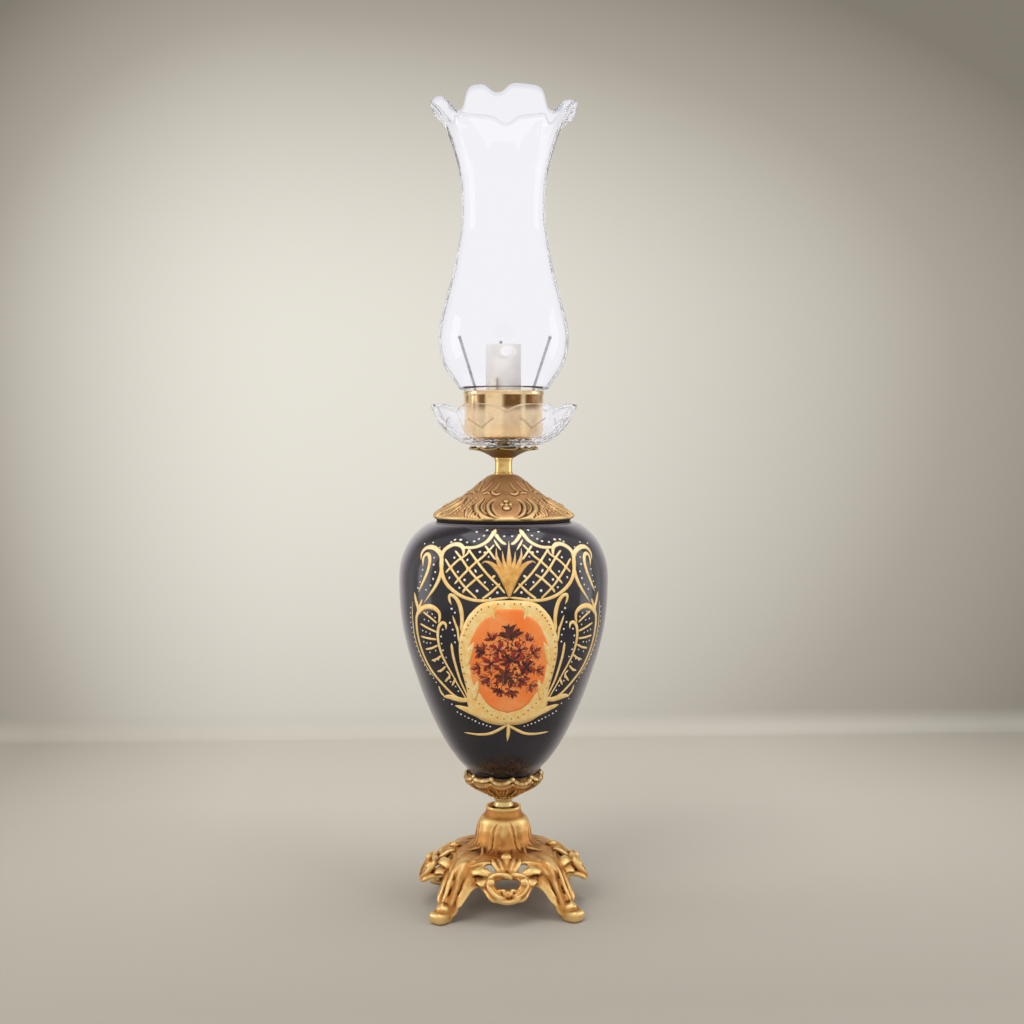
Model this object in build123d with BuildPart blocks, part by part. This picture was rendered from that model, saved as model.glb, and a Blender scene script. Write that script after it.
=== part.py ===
from build123d import *
import os
from math import cos, radians, sin

os.makedirs("parts", exist_ok=True)

# Table lamp in oil-lamp form. Millimetres, origin on the floor under the middle of the foot, +Z up,
# the front looks along -Y. Everything is stacked on one threaded tube, from the foot to the lampholder.

# Clearances
SLIDE_GAP = 0.3         # round the glass collar in the gallery
ROD_GAP = 0.2           # plain holes over the threaded tube
PIN_GAP = 0.05          # prong eyes on their pins
EAR_GAP = 0.15          # each side of an eye, between its ears
FIT_GAP = 0.1           # plugs and sleeves in their seats

# Threaded tube, nuts and washers
ROD_R = 5.0
ROD_BORE_R = 4.0
ROD_TAIL = 4.0          # tube showing under the foot nut
NUT_FLATS = 14.0
NUT_H = 4.0
WASHER_R = 12.0
WASHER_T = 1.5
LOCK_WASHER_R = 8.5
LOCK_WASHER_T = 1.2
BUSH_R = 6.0
BUSH_FLANGE_T = 1.5
BUSH_PLUG_H = 6.0
BUSH_BORE_R = 3.2

# Foot casting
BELL_H = 73.0
BELL_TOP_R = 13.25
BELL_SHOULDER_R = 18.0
BELL_SHOULDER_DROP = 8.0
BELL_WAIST_R = 21.5
BELL_WAIST_Z = 48.0
BELL_DECK_T = 6.0
FOOT_WALL = 3.5
SHELF_HALF = 31.0       # half the skirt's width where it leaves the bell
SHOULDER_HALF = 41.5    # and where it turns down
SHOULDER_Z = 36.0
SKIRT_HALF = 44.0       # and at its lower edge
SKIRT_CORNER_R = 14.0
SKIRT_EDGE_Z = 27.0
KNEE_REACH = 50.0       # top of a leg's knee from the axis, along the diagonal
KNEE_Z = 43.5
SHIN_REACH = 62.5
SHIN_Z = 25.0
LEG_REACH = 70.0        # middle of a toe from the axis, along the diagonal
LEG_W = 11.0
TOE_LEN = 10.5
TOE_H = 10.0
SCROLL_REACH = 49.5     # middle of a scroll ring from the axis
SCROLL_Z = 27.0
SCROLL_TILT = 48.0
SCROLL_HALF_W = 16.0
SCROLL_HALF_H = 14.0
SCROLL_T = 6.0
SCROLL_EYE_W = 20.0
SCROLL_EYE_H = 9.0
KNOB_R = 4.5
KNOB_REACH = 32.0
KNOB_Z = 44.5

# Neck, leaf cup and vase
NECK_R = 7.5
NECK_H = 6.0
CUP_FOOT_R = 7.2
CUP_GAP = 1.0           # between the leaves' tips and the vase
CUP_H = 21.0
CUP_FLOOR_T = 3.0
CUP_WALL = 2.2
CUP_LEAVES = 12
CUP_NOTCH_H = 4.0
GASKET_T = 2.0
GASKET_R = 9.5
VASE_H = 204.0
VASE_BELLY_R = 78.3
VASE_FOOT_R = 10.0
VASE_RIM_R = 54.0
VASE_MOUTH_R = 38.0
VASE_WALL = 4.5
VASE_HOLE_R = 6.5

# Vase cover and stem
COVER_H = 33.0
COVER_R = 52.7
COVER_TOP_R = 9.5
COVER_WALL = 3.2
COVER_EDGE_H = 4.0
STEM_R = 6.2
STEM_FOOT_R = 7.4
STEM_FOOT_H = 3.0
STEM_H = 12.0

# Leaf dish and petal dish
LEAF_DISH_R = 26.2
LEAF_DISH_H = 8.0
LEAF_DISH_EDGE_T = 2.0
LEAF_DISH_LEAVES = 12
DISH_WASHER_R = 13.0
DISH_WASHER_T = 1.0
PETAL_R = 56.5
PETAL_H = 30.0
PETAL_FLOOR_T = 5.0
PETAL_FOOT_R = 24.0
PETAL_WALL = 4.0
PETALS = 8
PETAL_SEAT_GAP = 1.0    # between the gallery's bead and the rising petals
PETAL_NOTCH_R = 9.0

# Gallery
GALLERY_R = 29.8
GALLERY_WALL = 0.8
GALLERY_H = 35.0
GALLERY_FLOOR_T = 1.2
GALLERY_BEAD = 0.6
GALLERY_WASHER_T = 1.0
GALLERY_NUT_H = 3.0

# Spring prongs, their plate, ears and pins
PRONG_BEARINGS = {"rear_prong": 90.0, "left_prong": 210.0, "right_prong": 330.0}
PLATE_R = 19.0
PLATE_T = 1.5
PIVOT_R = 15.7
PIVOT_LIFT = 9.0        # pin axis over the plate
PIN_R = 0.8
EYE_R = 1.7
EYE_W = 3.0
EAR_T = 1.1
EAR_HALF = 2.0
PRONG_LEAN = 20.0
PRONG_LEN = 66.0
PRONG_R = 0.95
PRONG_BEAD_R = 1.3

# Lampholder for a small screw base
HOLDER_R = 13.2
HOLDER_WALL = 1.6
HOLDER_SHELL_H = 49.5
HOLDER_LIP_T = 2.0
HOLDER_LIP_R = 8.6
CAP_H = 14.3
CAP_FLOOR_T = 3.0
CAP_BORE_R = 9.5
INSERT_H = 23.5
RECESS_R = 3.5         # well in the insert's top, where the contact stands
RECESS_DEPTH = 3.5
SOCKET_R = 7.1
SOCKET_WALL = 0.4
CONTACT_R = 2.5
CONTACT_T = 1.0
CONTACT_STEM_R = 1.2
CONTACT_STEM_H = 8.0
CONTACT_TRAVEL = 1.5
TERMINAL_R = 1.25
TERMINAL_HEAD_R = 2.3
TERMINAL_HEAD_T = 1.8
TERMINAL_LEN = 6.0
TERMINAL_REACH = 6.5
PLAQUE_W = 12.8
PLAQUE_H = 8.3
PLAQUE_T = 0.5
PLAQUE_DROP = 5.5       # plaque middle under the shell's top

# Earth post
POST_R = 2.4
POST_H = 40.3
POST_REACH = 16.4
POST_BEARING = 240.4
POST_SCREW_R = 1.25
POST_SCREW_LEN = 8.0
POST_HEAD_H = 2.0
SLOT_W = 0.8
SLOT_DEPTH = 0.9

# Chimney
CHIMNEY_H = 215.0
CHIMNEY_WALL = 1.7
COLLAR_H = 5.5
CHIMNEY_FOOT_R = 33.7
CHIMNEY_BELLY_R = 49.1
CHIMNEY_BELLY_Z = 40.0
CHIMNEY_SHOULDER_RISE = 36.0
CHIMNEY_THROAT_R = 31.5
CHIMNEY_THROAT_Z = 133.0
CHIMNEY_FLARE_R = 44.0
CHIMNEY_FLARE_DROP = 22.0   # flare's height under the rim
CHIMNEY_RIM_R = 55.0
RUFFLES = 8
RUFFLE_DEPTH = 6.5

UP = (Align.CENTER, Align.CENTER, Align.MIN)

# Heights of the stack, each on the one below
skirt_top_z = BELL_WAIST_Z - KNOB_R
deck_z = BELL_H - BELL_DECK_T
washer_z = deck_z - WASHER_T
lock_washer_z = washer_z - LOCK_WASHER_T
base_nut_z = lock_washer_z - NUT_H
rod_z = base_nut_z - ROD_TAIL
cup_z = BELL_H + NECK_H
lower_gasket_z = cup_z + CUP_FLOOR_T
vase_z = lower_gasket_z + GASKET_T
vase_top_z = vase_z + VASE_H
cover_z = vase_top_z + GASKET_T
stem_z = cover_z + COVER_H
leaf_dish_z = stem_z + STEM_H
dish_washer_z = leaf_dish_z + LEAF_DISH_H
petal_z = dish_washer_z + DISH_WASHER_T
gallery_washer_z = petal_z + PETAL_FLOOR_T
gallery_z = gallery_washer_z + GALLERY_WASHER_T
gallery_top_z = gallery_z + GALLERY_H
plate_z = gallery_z + GALLERY_FLOOR_T
plate_top_z = plate_z + PLATE_T
pivot_z = plate_top_z + PIVOT_LIFT
cap_z = plate_top_z + GALLERY_NUT_H
rod_top_z = cap_z + CAP_FLOOR_T
insert_z = cap_z + CAP_H
socket_z = insert_z + INSERT_H
holder_top_z = insert_z + HOLDER_SHELL_H
socket_h = holder_top_z - HOLDER_LIP_T - socket_z
recess_z = socket_z - RECESS_DEPTH
contact_z = recess_z + CONTACT_TRAVEL + CONTACT_T
chimney_z = gallery_top_z
rod_hole_r = ROD_R + ROD_GAP
gallery_outer_r = GALLERY_R + GALLERY_BEAD
collar_r = GALLERY_R - GALLERY_WALL - SLIDE_GAP
cup_rim_r = 0.349 * VASE_BELLY_R + CUP_GAP + CUP_WALL
pin_reach = EYE_W / 2 + EAR_GAP + EAR_T


def keep(piece, name):
    """Label a finished piece and write it."""
    piece.part.label = name
    export_step(piece.part, f"parts/{name}.step")


def ring(z, height, outer_r, inner_r):
    """A plain ring standing on z."""
    with BuildPart(Plane.XY.offset(z)) as piece:
        Cylinder(outer_r, height, align=UP)
        Cylinder(inner_r, height, align=UP, mode=Mode.SUBTRACT)
    return piece


def hex_nut(z, height):
    """A hexagon nut on the threaded tube."""
    with BuildPart(Plane.XY.offset(z)) as piece:
        with BuildSketch(Plane.XY.offset(z)):
            RegularPolygon(NUT_FLATS / 2, 6, major_radius=False)
            Circle(ROD_R, mode=Mode.SUBTRACT)
        extrude(amount=height)
    return piece


# ---------------------------------------------------------------- foot
# Cast brass foot: a bell on a square skirt, four legs at the corners and an open scroll ring on each side.
with BuildPart() as foot_casting:
    with BuildSketch(Plane.XZ):
        with BuildLine():
            bell_curve = Spline(
                (BELL_SHOULDER_R, BELL_H - BELL_SHOULDER_DROP),
                (BELL_WAIST_R, BELL_WAIST_Z),
                (BELL_WAIST_R + FOOT_WALL, skirt_top_z - FOOT_WALL / 2),
            )
            Line(bell_curve @ 0, (BELL_TOP_R, BELL_H))
            Line((BELL_TOP_R, BELL_H), (0, BELL_H))
            Line((0, BELL_H), (0, (bell_curve @ 1).Y))
            Line((0, (bell_curve @ 1).Y), bell_curve @ 1)
        make_face()
    revolve(axis=Axis.Z)
    # Skirt: a shelf round the bell's foot that turns down over a square shoulder
    skirt_sizes = [(SHELF_HALF, skirt_top_z), (SHOULDER_HALF, SHOULDER_Z), (SKIRT_HALF, SKIRT_EDGE_Z)]
    for (upper_half, upper_z), (lower_half, lower_z) in zip(skirt_sizes, skirt_sizes[1:]):
        with BuildSketch(Plane.XY.offset(upper_z)):
            RectangleRounded(2 * upper_half, 2 * upper_half, SKIRT_CORNER_R)
        with BuildSketch(Plane.XY.offset(lower_z)):
            RectangleRounded(2 * lower_half, 2 * lower_half, SKIRT_CORNER_R)
        loft()
    # Hollow inside: bell and skirt are a shell, open underneath
    with BuildSketch(Plane.XZ):
        with BuildLine():
            inner_curve = Spline(
                (BELL_SHOULDER_R - FOOT_WALL, deck_z),
                (BELL_WAIST_R - FOOT_WALL, BELL_WAIST_Z),
                (BELL_WAIST_R, skirt_top_z - FOOT_WALL),
            )
            Polyline(inner_curve @ 0, (0, deck_z), (0, (inner_curve @ 1).Y), inner_curve @ 1)
        make_face()
    revolve(axis=Axis.Z, mode=Mode.SUBTRACT)
    for (upper_half, upper_z), (lower_half, lower_z) in zip(skirt_sizes, skirt_sizes[1:]):
        with BuildSketch(Plane.XY.offset(upper_z - FOOT_WALL)):
            RectangleRounded(2 * (upper_half - FOOT_WALL), 2 * (upper_half - FOOT_WALL),
                             SKIRT_CORNER_R - FOOT_WALL)
        with BuildSketch(Plane.XY.offset(lower_z - FOOT_WALL)):
            RectangleRounded(2 * (lower_half - FOOT_WALL), 2 * (lower_half - FOOT_WALL),
                             SKIRT_CORNER_R - FOOT_WALL)
        loft(mode=Mode.SUBTRACT)
    # Legs, cut from the diagonal plane of each corner
    for bearing in (45, 135, 225, 315):
        diagonal = Plane(origin=(0, 0, 0), x_dir=(cos(radians(bearing)), sin(radians(bearing)), 0),
                         z_dir=(sin(radians(bearing)), -cos(radians(bearing)), 0))
        with BuildSketch(diagonal):
            with BuildLine():
                ridge = Spline(
                    (BELL_WAIST_R, skirt_top_z),
                    (KNEE_REACH, KNEE_Z),
                    (SHIN_REACH, SHIN_Z),
                    (LEG_REACH, TOE_H),
                )
                toe = Polyline(ridge @ 1, (LEG_REACH + TOE_LEN / 2, TOE_H - 1),
                               (LEG_REACH + TOE_LEN / 2, 0), (LEG_REACH - TOE_LEN / 2, 0))
                hollow = Spline(
                    toe @ 1,
                    (SHIN_REACH - 2 * FOOT_WALL, SHIN_Z - 2 * FOOT_WALL),
                    (KNEE_REACH - FOOT_WALL, SKIRT_EDGE_Z),
                )
                Polyline(hollow @ 1, (BELL_WAIST_R, SKIRT_EDGE_Z + 2 * FOOT_WALL), ridge @ 0)
            make_face()
        extrude(amount=LEG_W / 2, both=True)
    # Scroll rings, each a tilted oval with an open eye, on a bracket that ends in a knob
    for bearing in (0, 90, 180, 270):
        outward = (cos(radians(bearing)), sin(radians(bearing)), 0)
        across = (-sin(radians(bearing)), cos(radians(bearing)), 0)
        lean = radians(SCROLL_TILT)
        face = Plane(
            origin=(outward[0] * SCROLL_REACH, outward[1] * SCROLL_REACH, SCROLL_Z),
            x_dir=across,
            z_dir=(outward[0] * sin(lean), outward[1] * sin(lean), cos(lean)),
        )
        with BuildSketch(face):
            Ellipse(SCROLL_HALF_W, SCROLL_HALF_H)
            SlotOverall(SCROLL_EYE_W, SCROLL_EYE_H, mode=Mode.SUBTRACT)
        extrude(amount=SCROLL_T / 2, both=True)
        side = Plane(origin=(0, 0, 0), x_dir=outward, z_dir=(outward[1], -outward[0], 0))
        ring_top = (SCROLL_REACH - (SCROLL_HALF_H - 2) * cos(lean),
                    SCROLL_Z + (SCROLL_HALF_H - 2) * sin(lean))
        with BuildSketch(side):
            with BuildLine():
                Polyline((BELL_WAIST_R, KNOB_Z), (KNOB_REACH, KNOB_Z), ring_top,
                         (ring_top[0] - KNOB_R, ring_top[1] - KNOB_R),
                         (BELL_WAIST_R, KNOB_Z - 2 * KNOB_R), close=True)
            make_face()
        extrude(amount=KNOB_R, both=True)
        with BuildSketch(side):
            with Locations((KNOB_REACH, KNOB_Z)):
                Circle(KNOB_R)
        extrude(amount=KNOB_R, both=True)
    # The tube's hole through the deck
    with BuildSketch(Plane.XY.offset(deck_z)):
        Circle(rod_hole_r)
    extrude(amount=BELL_DECK_T, mode=Mode.SUBTRACT)
keep(foot_casting, "foot_casting")

# Nut and washers that pull the whole stack down onto the foot
keep(ring(washer_z, WASHER_T, WASHER_R, rod_hole_r), "base_washer")
keep(ring(lock_washer_z, LOCK_WASHER_T, LOCK_WASHER_R, rod_hole_r), "base_lock_washer")
keep(hex_nut(base_nut_z, NUT_H), "base_nut")

# Threaded tube through everything; the cord would run up inside it
keep(ring(rod_z, rod_top_z - rod_z, ROD_R, ROD_BORE_R), "central_rod")

# Insulating bush pressed into the tube's lower end
with BuildPart(Plane.XY.offset(rod_z)) as tube_bush:
    Cylinder(ROD_BORE_R - PIN_GAP, BUSH_PLUG_H, align=UP)
    with Locations((0, 0, -BUSH_FLANGE_T)):
        Cylinder(BUSH_R, BUSH_FLANGE_T, align=UP)
        Cylinder(BUSH_BORE_R, BUSH_PLUG_H + BUSH_FLANGE_T, align=UP, mode=Mode.SUBTRACT)
keep(tube_bush, "tube_bush")

# ---------------------------------------------------------------- neck, leaf cup and vase
keep(ring(BELL_H, NECK_H, NECK_R, rod_hole_r), "neck_spacer")

# Cast cup of leaves that the vase stands in
with BuildPart() as leaf_cup:
    with BuildSketch(Plane.XZ):
        with BuildLine():
            outside = Spline(
                (CUP_FOOT_R, cup_z),
                (0.75 * cup_rim_r, cup_z + 0.52 * CUP_H),
                (cup_rim_r, cup_z + CUP_H),
            )
            inside = Spline(
                (cup_rim_r - CUP_WALL, cup_z + CUP_H),
                (0.75 * cup_rim_r - CUP_WALL / 2, cup_z + 0.52 * CUP_H + CUP_WALL / 2),
                (GASKET_R, lower_gasket_z),
            )
            Polyline(inside @ 1, (rod_hole_r, lower_gasket_z), (rod_hole_r, cup_z), outside @ 0)
            Line(outside @ 1, inside @ 0)
        make_face()
    revolve(axis=Axis.Z)
    # Notches between the leaves of the rim
    with BuildSketch(Plane.XY.offset(cup_z + CUP_H - CUP_NOTCH_H)):
        with PolarLocations(cup_rim_r, CUP_LEAVES):
            Circle(CUP_WALL)
    extrude(amount=2 * CUP_NOTCH_H, mode=Mode.SUBTRACT)
keep(leaf_cup, "leaf_cup")

keep(ring(lower_gasket_z, GASKET_T, GASKET_R - FIT_GAP, rod_hole_r), "lower_gasket")

# Porcelain vase: a pear-shaped shell with its belly high up, open at the top under the cover
flank_points = [
    (0.394 * VASE_BELLY_R, vase_z + 0.106 * VASE_H),
    (0.651 * VASE_BELLY_R, vase_z + 0.260 * VASE_H),
    (0.871 * VASE_BELLY_R, vase_z + 0.480 * VASE_H),
    (0.968 * VASE_BELLY_R, vase_z + 0.613 * VASE_H),
    (VASE_BELLY_R, vase_z + 0.790 * VASE_H),
    (0.955 * VASE_BELLY_R, vase_z + 0.880 * VASE_H),
    (0.881 * VASE_BELLY_R, vase_z + 0.945 * VASE_H),
]
with BuildPart() as vase_body:
    with BuildSketch(Plane.XZ):
        with BuildLine():
            flank = Spline((VASE_FOOT_R, vase_z), *flank_points, (VASE_RIM_R, vase_top_z))
            lining = Spline(
                (VASE_RIM_R - VASE_WALL, vase_top_z - VASE_WALL),
                *[(r - VASE_WALL, z) for r, z in reversed(flank_points)],
                (VASE_FOOT_R, vase_z + VASE_WALL),
            )
            Polyline(flank @ 1, (VASE_MOUTH_R, vase_top_z), (VASE_MOUTH_R, vase_top_z - VASE_WALL),
                     lining @ 0)
            Polyline(lining @ 1, (VASE_HOLE_R, vase_z + VASE_WALL), (VASE_HOLE_R, vase_z), flank @ 0)
        make_face()
    revolve(axis=Axis.Z)
keep(vase_body, "vase_body")

keep(ring(vase_top_z, GASKET_T, COVER_R, COVER_R - 2 * COVER_WALL), "upper_gasket")

# ---------------------------------------------------------------- cover and stem
# Cast dome that closes the vase
with BuildPart() as vase_cover:
    with BuildSketch(Plane.XZ):
        with BuildLine():
            dome = Spline(
                (COVER_TOP_R, stem_z),
                (0.49 * COVER_R, cover_z + 0.575 * COVER_H),
                (0.78 * COVER_R, cover_z + 0.333 * COVER_H),
                (COVER_R, cover_z + COVER_EDGE_H),
            )
            roof = Spline(
                (COVER_R - COVER_WALL, cover_z + COVER_EDGE_H / 2),
                (0.78 * COVER_R - COVER_WALL / 2, cover_z + 0.333 * COVER_H - COVER_WALL),
                (0.49 * COVER_R - COVER_WALL / 2, cover_z + 0.575 * COVER_H - COVER_WALL),
                (COVER_TOP_R, stem_z - 2 * COVER_WALL),
            )
            Polyline(dome @ 1, (COVER_R, cover_z), (COVER_R - COVER_WALL, cover_z), roof @ 0)
            Polyline(roof @ 1, (rod_hole_r, stem_z - 2 * COVER_WALL), (rod_hole_r, stem_z), dome @ 0)
        make_face()
    revolve(axis=Axis.Z)
keep(vase_cover, "vase_cover")

# Turned brass spacer with a wider foot
with BuildPart(Plane.XY.offset(stem_z)) as stem_spacer:
    Cylinder(STEM_FOOT_R, STEM_FOOT_H, align=UP)
    Cylinder(STEM_R, STEM_H, align=UP)
    Cylinder(rod_hole_r, STEM_H, align=UP, mode=Mode.SUBTRACT)
keep(stem_spacer, "stem_spacer")

# ---------------------------------------------------------------- dishes
# Cast dish of leaves under the glass
with BuildPart() as leaf_dish:
    with BuildSketch(Plane.XZ):
        with BuildLine():
            under = Spline(
                (STEM_FOOT_R, leaf_dish_z),
                (LEAF_DISH_R / 2, leaf_dish_z + LEAF_DISH_H / 3),
                (LEAF_DISH_R, leaf_dish_z + LEAF_DISH_H - LEAF_DISH_EDGE_T),
            )
            Polyline(under @ 1, (LEAF_DISH_R, dish_washer_z), (rod_hole_r, dish_washer_z),
                     (rod_hole_r, leaf_dish_z), under @ 0)
        make_face()
    revolve(axis=Axis.Z)
    with BuildSketch(Plane.XY.offset(leaf_dish_z)):
        with PolarLocations(LEAF_DISH_R + LEAF_DISH_EDGE_T / 2, LEAF_DISH_LEAVES):
            Circle(LEAF_DISH_EDGE_T)
    extrude(amount=LEAF_DISH_H, mode=Mode.SUBTRACT)
keep(leaf_dish, "leaf_dish")

keep(ring(dish_washer_z, DISH_WASHER_T, DISH_WASHER_R, rod_hole_r), "dish_washer")

# Crystal dish of upright petals
with BuildPart() as glass_bobeche:
    with BuildSketch(Plane.XZ):
        with BuildLine():
            bowl = Spline(
                (PETAL_FOOT_R, petal_z),
                (0.71 * PETAL_R, petal_z + 0.24 * PETAL_H),
                (0.83 * PETAL_R, petal_z + 0.45 * PETAL_H),
                (0.91 * PETAL_R, petal_z + 0.69 * PETAL_H),
                (PETAL_R, petal_z + PETAL_H),
            )
            well = Spline(
                (PETAL_R - PETAL_WALL / 2, petal_z + PETAL_H),
                (0.91 * PETAL_R - PETAL_WALL, petal_z + 0.69 * PETAL_H + PETAL_WALL / 3),
                (0.83 * PETAL_R - PETAL_WALL, petal_z + 0.45 * PETAL_H + PETAL_WALL / 2),
                (gallery_outer_r + PETAL_SEAT_GAP, petal_z + PETAL_FLOOR_T),
            )
            Line(bowl @ 1, well @ 0)
            Polyline(well @ 1, (rod_hole_r, petal_z + PETAL_FLOOR_T), (rod_hole_r, petal_z), bowl @ 0)
        make_face()
    revolve(axis=Axis.Z)
    # A notch between each two petals, one of them at the front
    for number in range(PETALS):
        notch_bearing = radians(-90 + number * 360 / PETALS)
        notch_plane = Plane(
            origin=(0, 0, petal_z + PETAL_H + PETAL_NOTCH_R / 3),
            x_dir=(-sin(notch_bearing), cos(notch_bearing), 0),
            z_dir=(cos(notch_bearing), sin(notch_bearing), 0),
        )
        with BuildSketch(notch_plane.offset(GALLERY_R)):
            Circle(PETAL_NOTCH_R)
        extrude(amount=PETAL_R, mode=Mode.SUBTRACT)
keep(glass_bobeche, "glass_bobeche")

# ---------------------------------------------------------------- gallery
keep(ring(gallery_washer_z, GALLERY_WASHER_T, DISH_WASHER_R, rod_hole_r), "gallery_washer")

# Spun brass cup that the chimney stands on
with BuildPart(Plane.XY.offset(gallery_z)) as gallery_cup:
    Cylinder(GALLERY_R, GALLERY_H, align=UP)
    with Locations((0, 0, GALLERY_H - 2 * GALLERY_BEAD)):
        Cylinder(GALLERY_R + GALLERY_BEAD, 2 * GALLERY_BEAD, align=UP)
    with Locations((0, 0, GALLERY_FLOOR_T)):
        Cylinder(GALLERY_R - GALLERY_WALL, GALLERY_H, align=UP, mode=Mode.SUBTRACT)
    Cylinder(rod_hole_r, GALLERY_FLOOR_T, align=UP, mode=Mode.SUBTRACT)
keep(gallery_cup, "gallery_cup")

keep(hex_nut(plate_top_z, GALLERY_NUT_H), "gallery_nut")


def bearing_plane(bearing):
    """Upright plane through a prong: x outward, y up, its normal along the prong's pin."""
    outward = (cos(radians(bearing)), sin(radians(bearing)), 0)
    return Plane(origin=(outward[0] * PIVOT_R, outward[1] * PIVOT_R, pivot_z), x_dir=outward,
                 z_dir=(outward[1], -outward[0], 0))


# Plate with a pair of ears for each prong
with BuildPart() as prong_plate:
    with BuildSketch(Plane.XY.offset(plate_z)):
        Circle(PLATE_R)
        Circle(rod_hole_r, mode=Mode.SUBTRACT)
    extrude(amount=PLATE_T)
    for bearing in PRONG_BEARINGS.values():
        for side in (-1, 1):
            near = EYE_W / 2 + EAR_GAP
            first = near if side > 0 else -near - EAR_T
            with BuildSketch(bearing_plane(bearing).offset(first)):
                with Locations((0, -PIVOT_LIFT / 2)):
                    Rectangle(2 * EAR_HALF, PIVOT_LIFT)
                Circle(EAR_HALF)
                Circle(PIN_R, mode=Mode.SUBTRACT)
            extrude(amount=EAR_T)
keep(prong_plate, "prong_plate")

# Pins, one through each pair of ears
with BuildPart() as prong_pins:
    for bearing in PRONG_BEARINGS.values():
        with BuildSketch(bearing_plane(bearing)):
            Circle(PIN_R)
        extrude(amount=pin_reach, both=True)
keep(prong_pins, "prong_pins")

# Spring prongs, leaning out from their pins, each with a bead at its tip
for prong_name, bearing in PRONG_BEARINGS.items():
    eye_plane = bearing_plane(bearing)
    lean_dir = eye_plane.x_dir * sin(radians(PRONG_LEAN)) + Vector(0, 0, cos(radians(PRONG_LEAN)))
    stalk_plane = Plane(origin=eye_plane.origin, z_dir=lean_dir)
    with BuildPart() as prong:
        with BuildSketch(eye_plane):
            Circle(EYE_R)
        extrude(amount=EYE_W / 2, both=True)
        with BuildSketch(stalk_plane):
            Circle(PRONG_R)
        extrude(amount=PRONG_LEN)
        with BuildSketch(eye_plane):
            Circle(PIN_R + PIN_GAP)
        extrude(amount=EYE_W / 2, both=True, mode=Mode.SUBTRACT)
        with Locations(stalk_plane.offset(PRONG_LEN)):
            Sphere(PRONG_BEAD_R)
    keep(prong, prong_name)

# ---------------------------------------------------------------- lampholder
# Threaded cap, screwed down on the tube until it meets the nut
with BuildPart(Plane.XY.offset(cap_z)) as holder_cap:
    Cylinder(HOLDER_R, CAP_H, align=UP)
    with Locations((0, 0, CAP_FLOOR_T)):
        Cylinder(CAP_BORE_R, CAP_H - CAP_FLOOR_T, align=UP, mode=Mode.SUBTRACT)
    Cylinder(ROD_R, CAP_FLOOR_T, align=UP, mode=Mode.SUBTRACT)
keep(holder_cap, "holder_cap")

# Blank oval plaque that follows the shell's front
with BuildPart() as plaque_pad:
    with BuildSketch(Plane.XZ):
        with Locations((0, holder_top_z - PLAQUE_DROP)):
            Ellipse(PLAQUE_W / 2, PLAQUE_H / 2)
    extrude(amount=2 * HOLDER_R)
    with BuildSketch(Plane.XY.offset(insert_z)):
        Circle(HOLDER_R + PLAQUE_T)
        Circle(HOLDER_R - PLAQUE_T, mode=Mode.SUBTRACT)
    extrude(amount=HOLDER_SHELL_H, mode=Mode.INTERSECT)

# Outer shell with an inward lip, and the plaque near its top
with BuildPart() as holder_shell:
    with Locations((0, 0, insert_z)):
        Cylinder(HOLDER_R, HOLDER_SHELL_H, align=UP)
        Cylinder(HOLDER_R - HOLDER_WALL, HOLDER_SHELL_H - HOLDER_LIP_T, align=UP, mode=Mode.SUBTRACT)
        Cylinder(HOLDER_LIP_R, HOLDER_SHELL_H, align=UP, mode=Mode.SUBTRACT)
    add(plaque_pad.part)
keep(holder_shell, "holder_shell")

# Insulating insert on the cap's ledge, bored for the contact and the terminal screws
terminal_spots = [(-TERMINAL_REACH, 0), (TERMINAL_REACH, 0)]
with BuildPart(Plane.XY.offset(insert_z)) as holder_insert:
    Cylinder(HOLDER_R - HOLDER_WALL - FIT_GAP, INSERT_H, align=UP)
    with Locations((0, 0, INSERT_H - RECESS_DEPTH)):
        Cylinder(RECESS_R, RECESS_DEPTH, align=UP, mode=Mode.SUBTRACT)
    with Locations((0, 0, INSERT_H - RECESS_DEPTH - CONTACT_STEM_H)):
        Cylinder(CONTACT_STEM_R + PIN_GAP, CONTACT_STEM_H, align=UP, mode=Mode.SUBTRACT)
    with Locations([(x, y, 0) for x, y in terminal_spots]):
        Cylinder(TERMINAL_R, TERMINAL_LEN, align=UP, mode=Mode.SUBTRACT)
keep(holder_insert, "holder_insert")

with BuildPart(Plane.XY.offset(insert_z)) as terminal_screws:
    with Locations([(x, y, 0) for x, y in terminal_spots]):
        Cylinder(TERMINAL_R, TERMINAL_LEN, align=UP)
    with Locations([(x, y, -TERMINAL_HEAD_T) for x, y in terminal_spots]):
        Cylinder(TERMINAL_HEAD_R, TERMINAL_HEAD_T, align=UP)
        Box(2 * TERMINAL_HEAD_R, SLOT_W, SLOT_DEPTH, align=UP, mode=Mode.SUBTRACT)
keep(terminal_screws, "terminal_screws")

# Brass shell that takes the bulb's screw base
keep(ring(socket_z, socket_h, SOCKET_R + SOCKET_WALL, SOCKET_R), "screw_shell")

# Sprung centre contact: a button on a stem that sinks into the insert
with BuildPart(Plane.XY.offset(contact_z)) as centre_contact:
    with Locations((0, 0, -CONTACT_T)):
        Cylinder(CONTACT_R, CONTACT_T, align=UP)
    contact_stem_len = CONTACT_STEM_H - CONTACT_TRAVEL
    with Locations((0, 0, -CONTACT_T - contact_stem_len)):
        Cylinder(CONTACT_STEM_R, contact_stem_len, align=UP)
keep(centre_contact, "centre_contact")

# ---------------------------------------------------------------- earth post
post_x = POST_REACH * cos(radians(POST_BEARING))
post_y = POST_REACH * sin(radians(POST_BEARING))
post_top = Plane(origin=(post_x, post_y, plate_top_z + POST_H))

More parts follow.
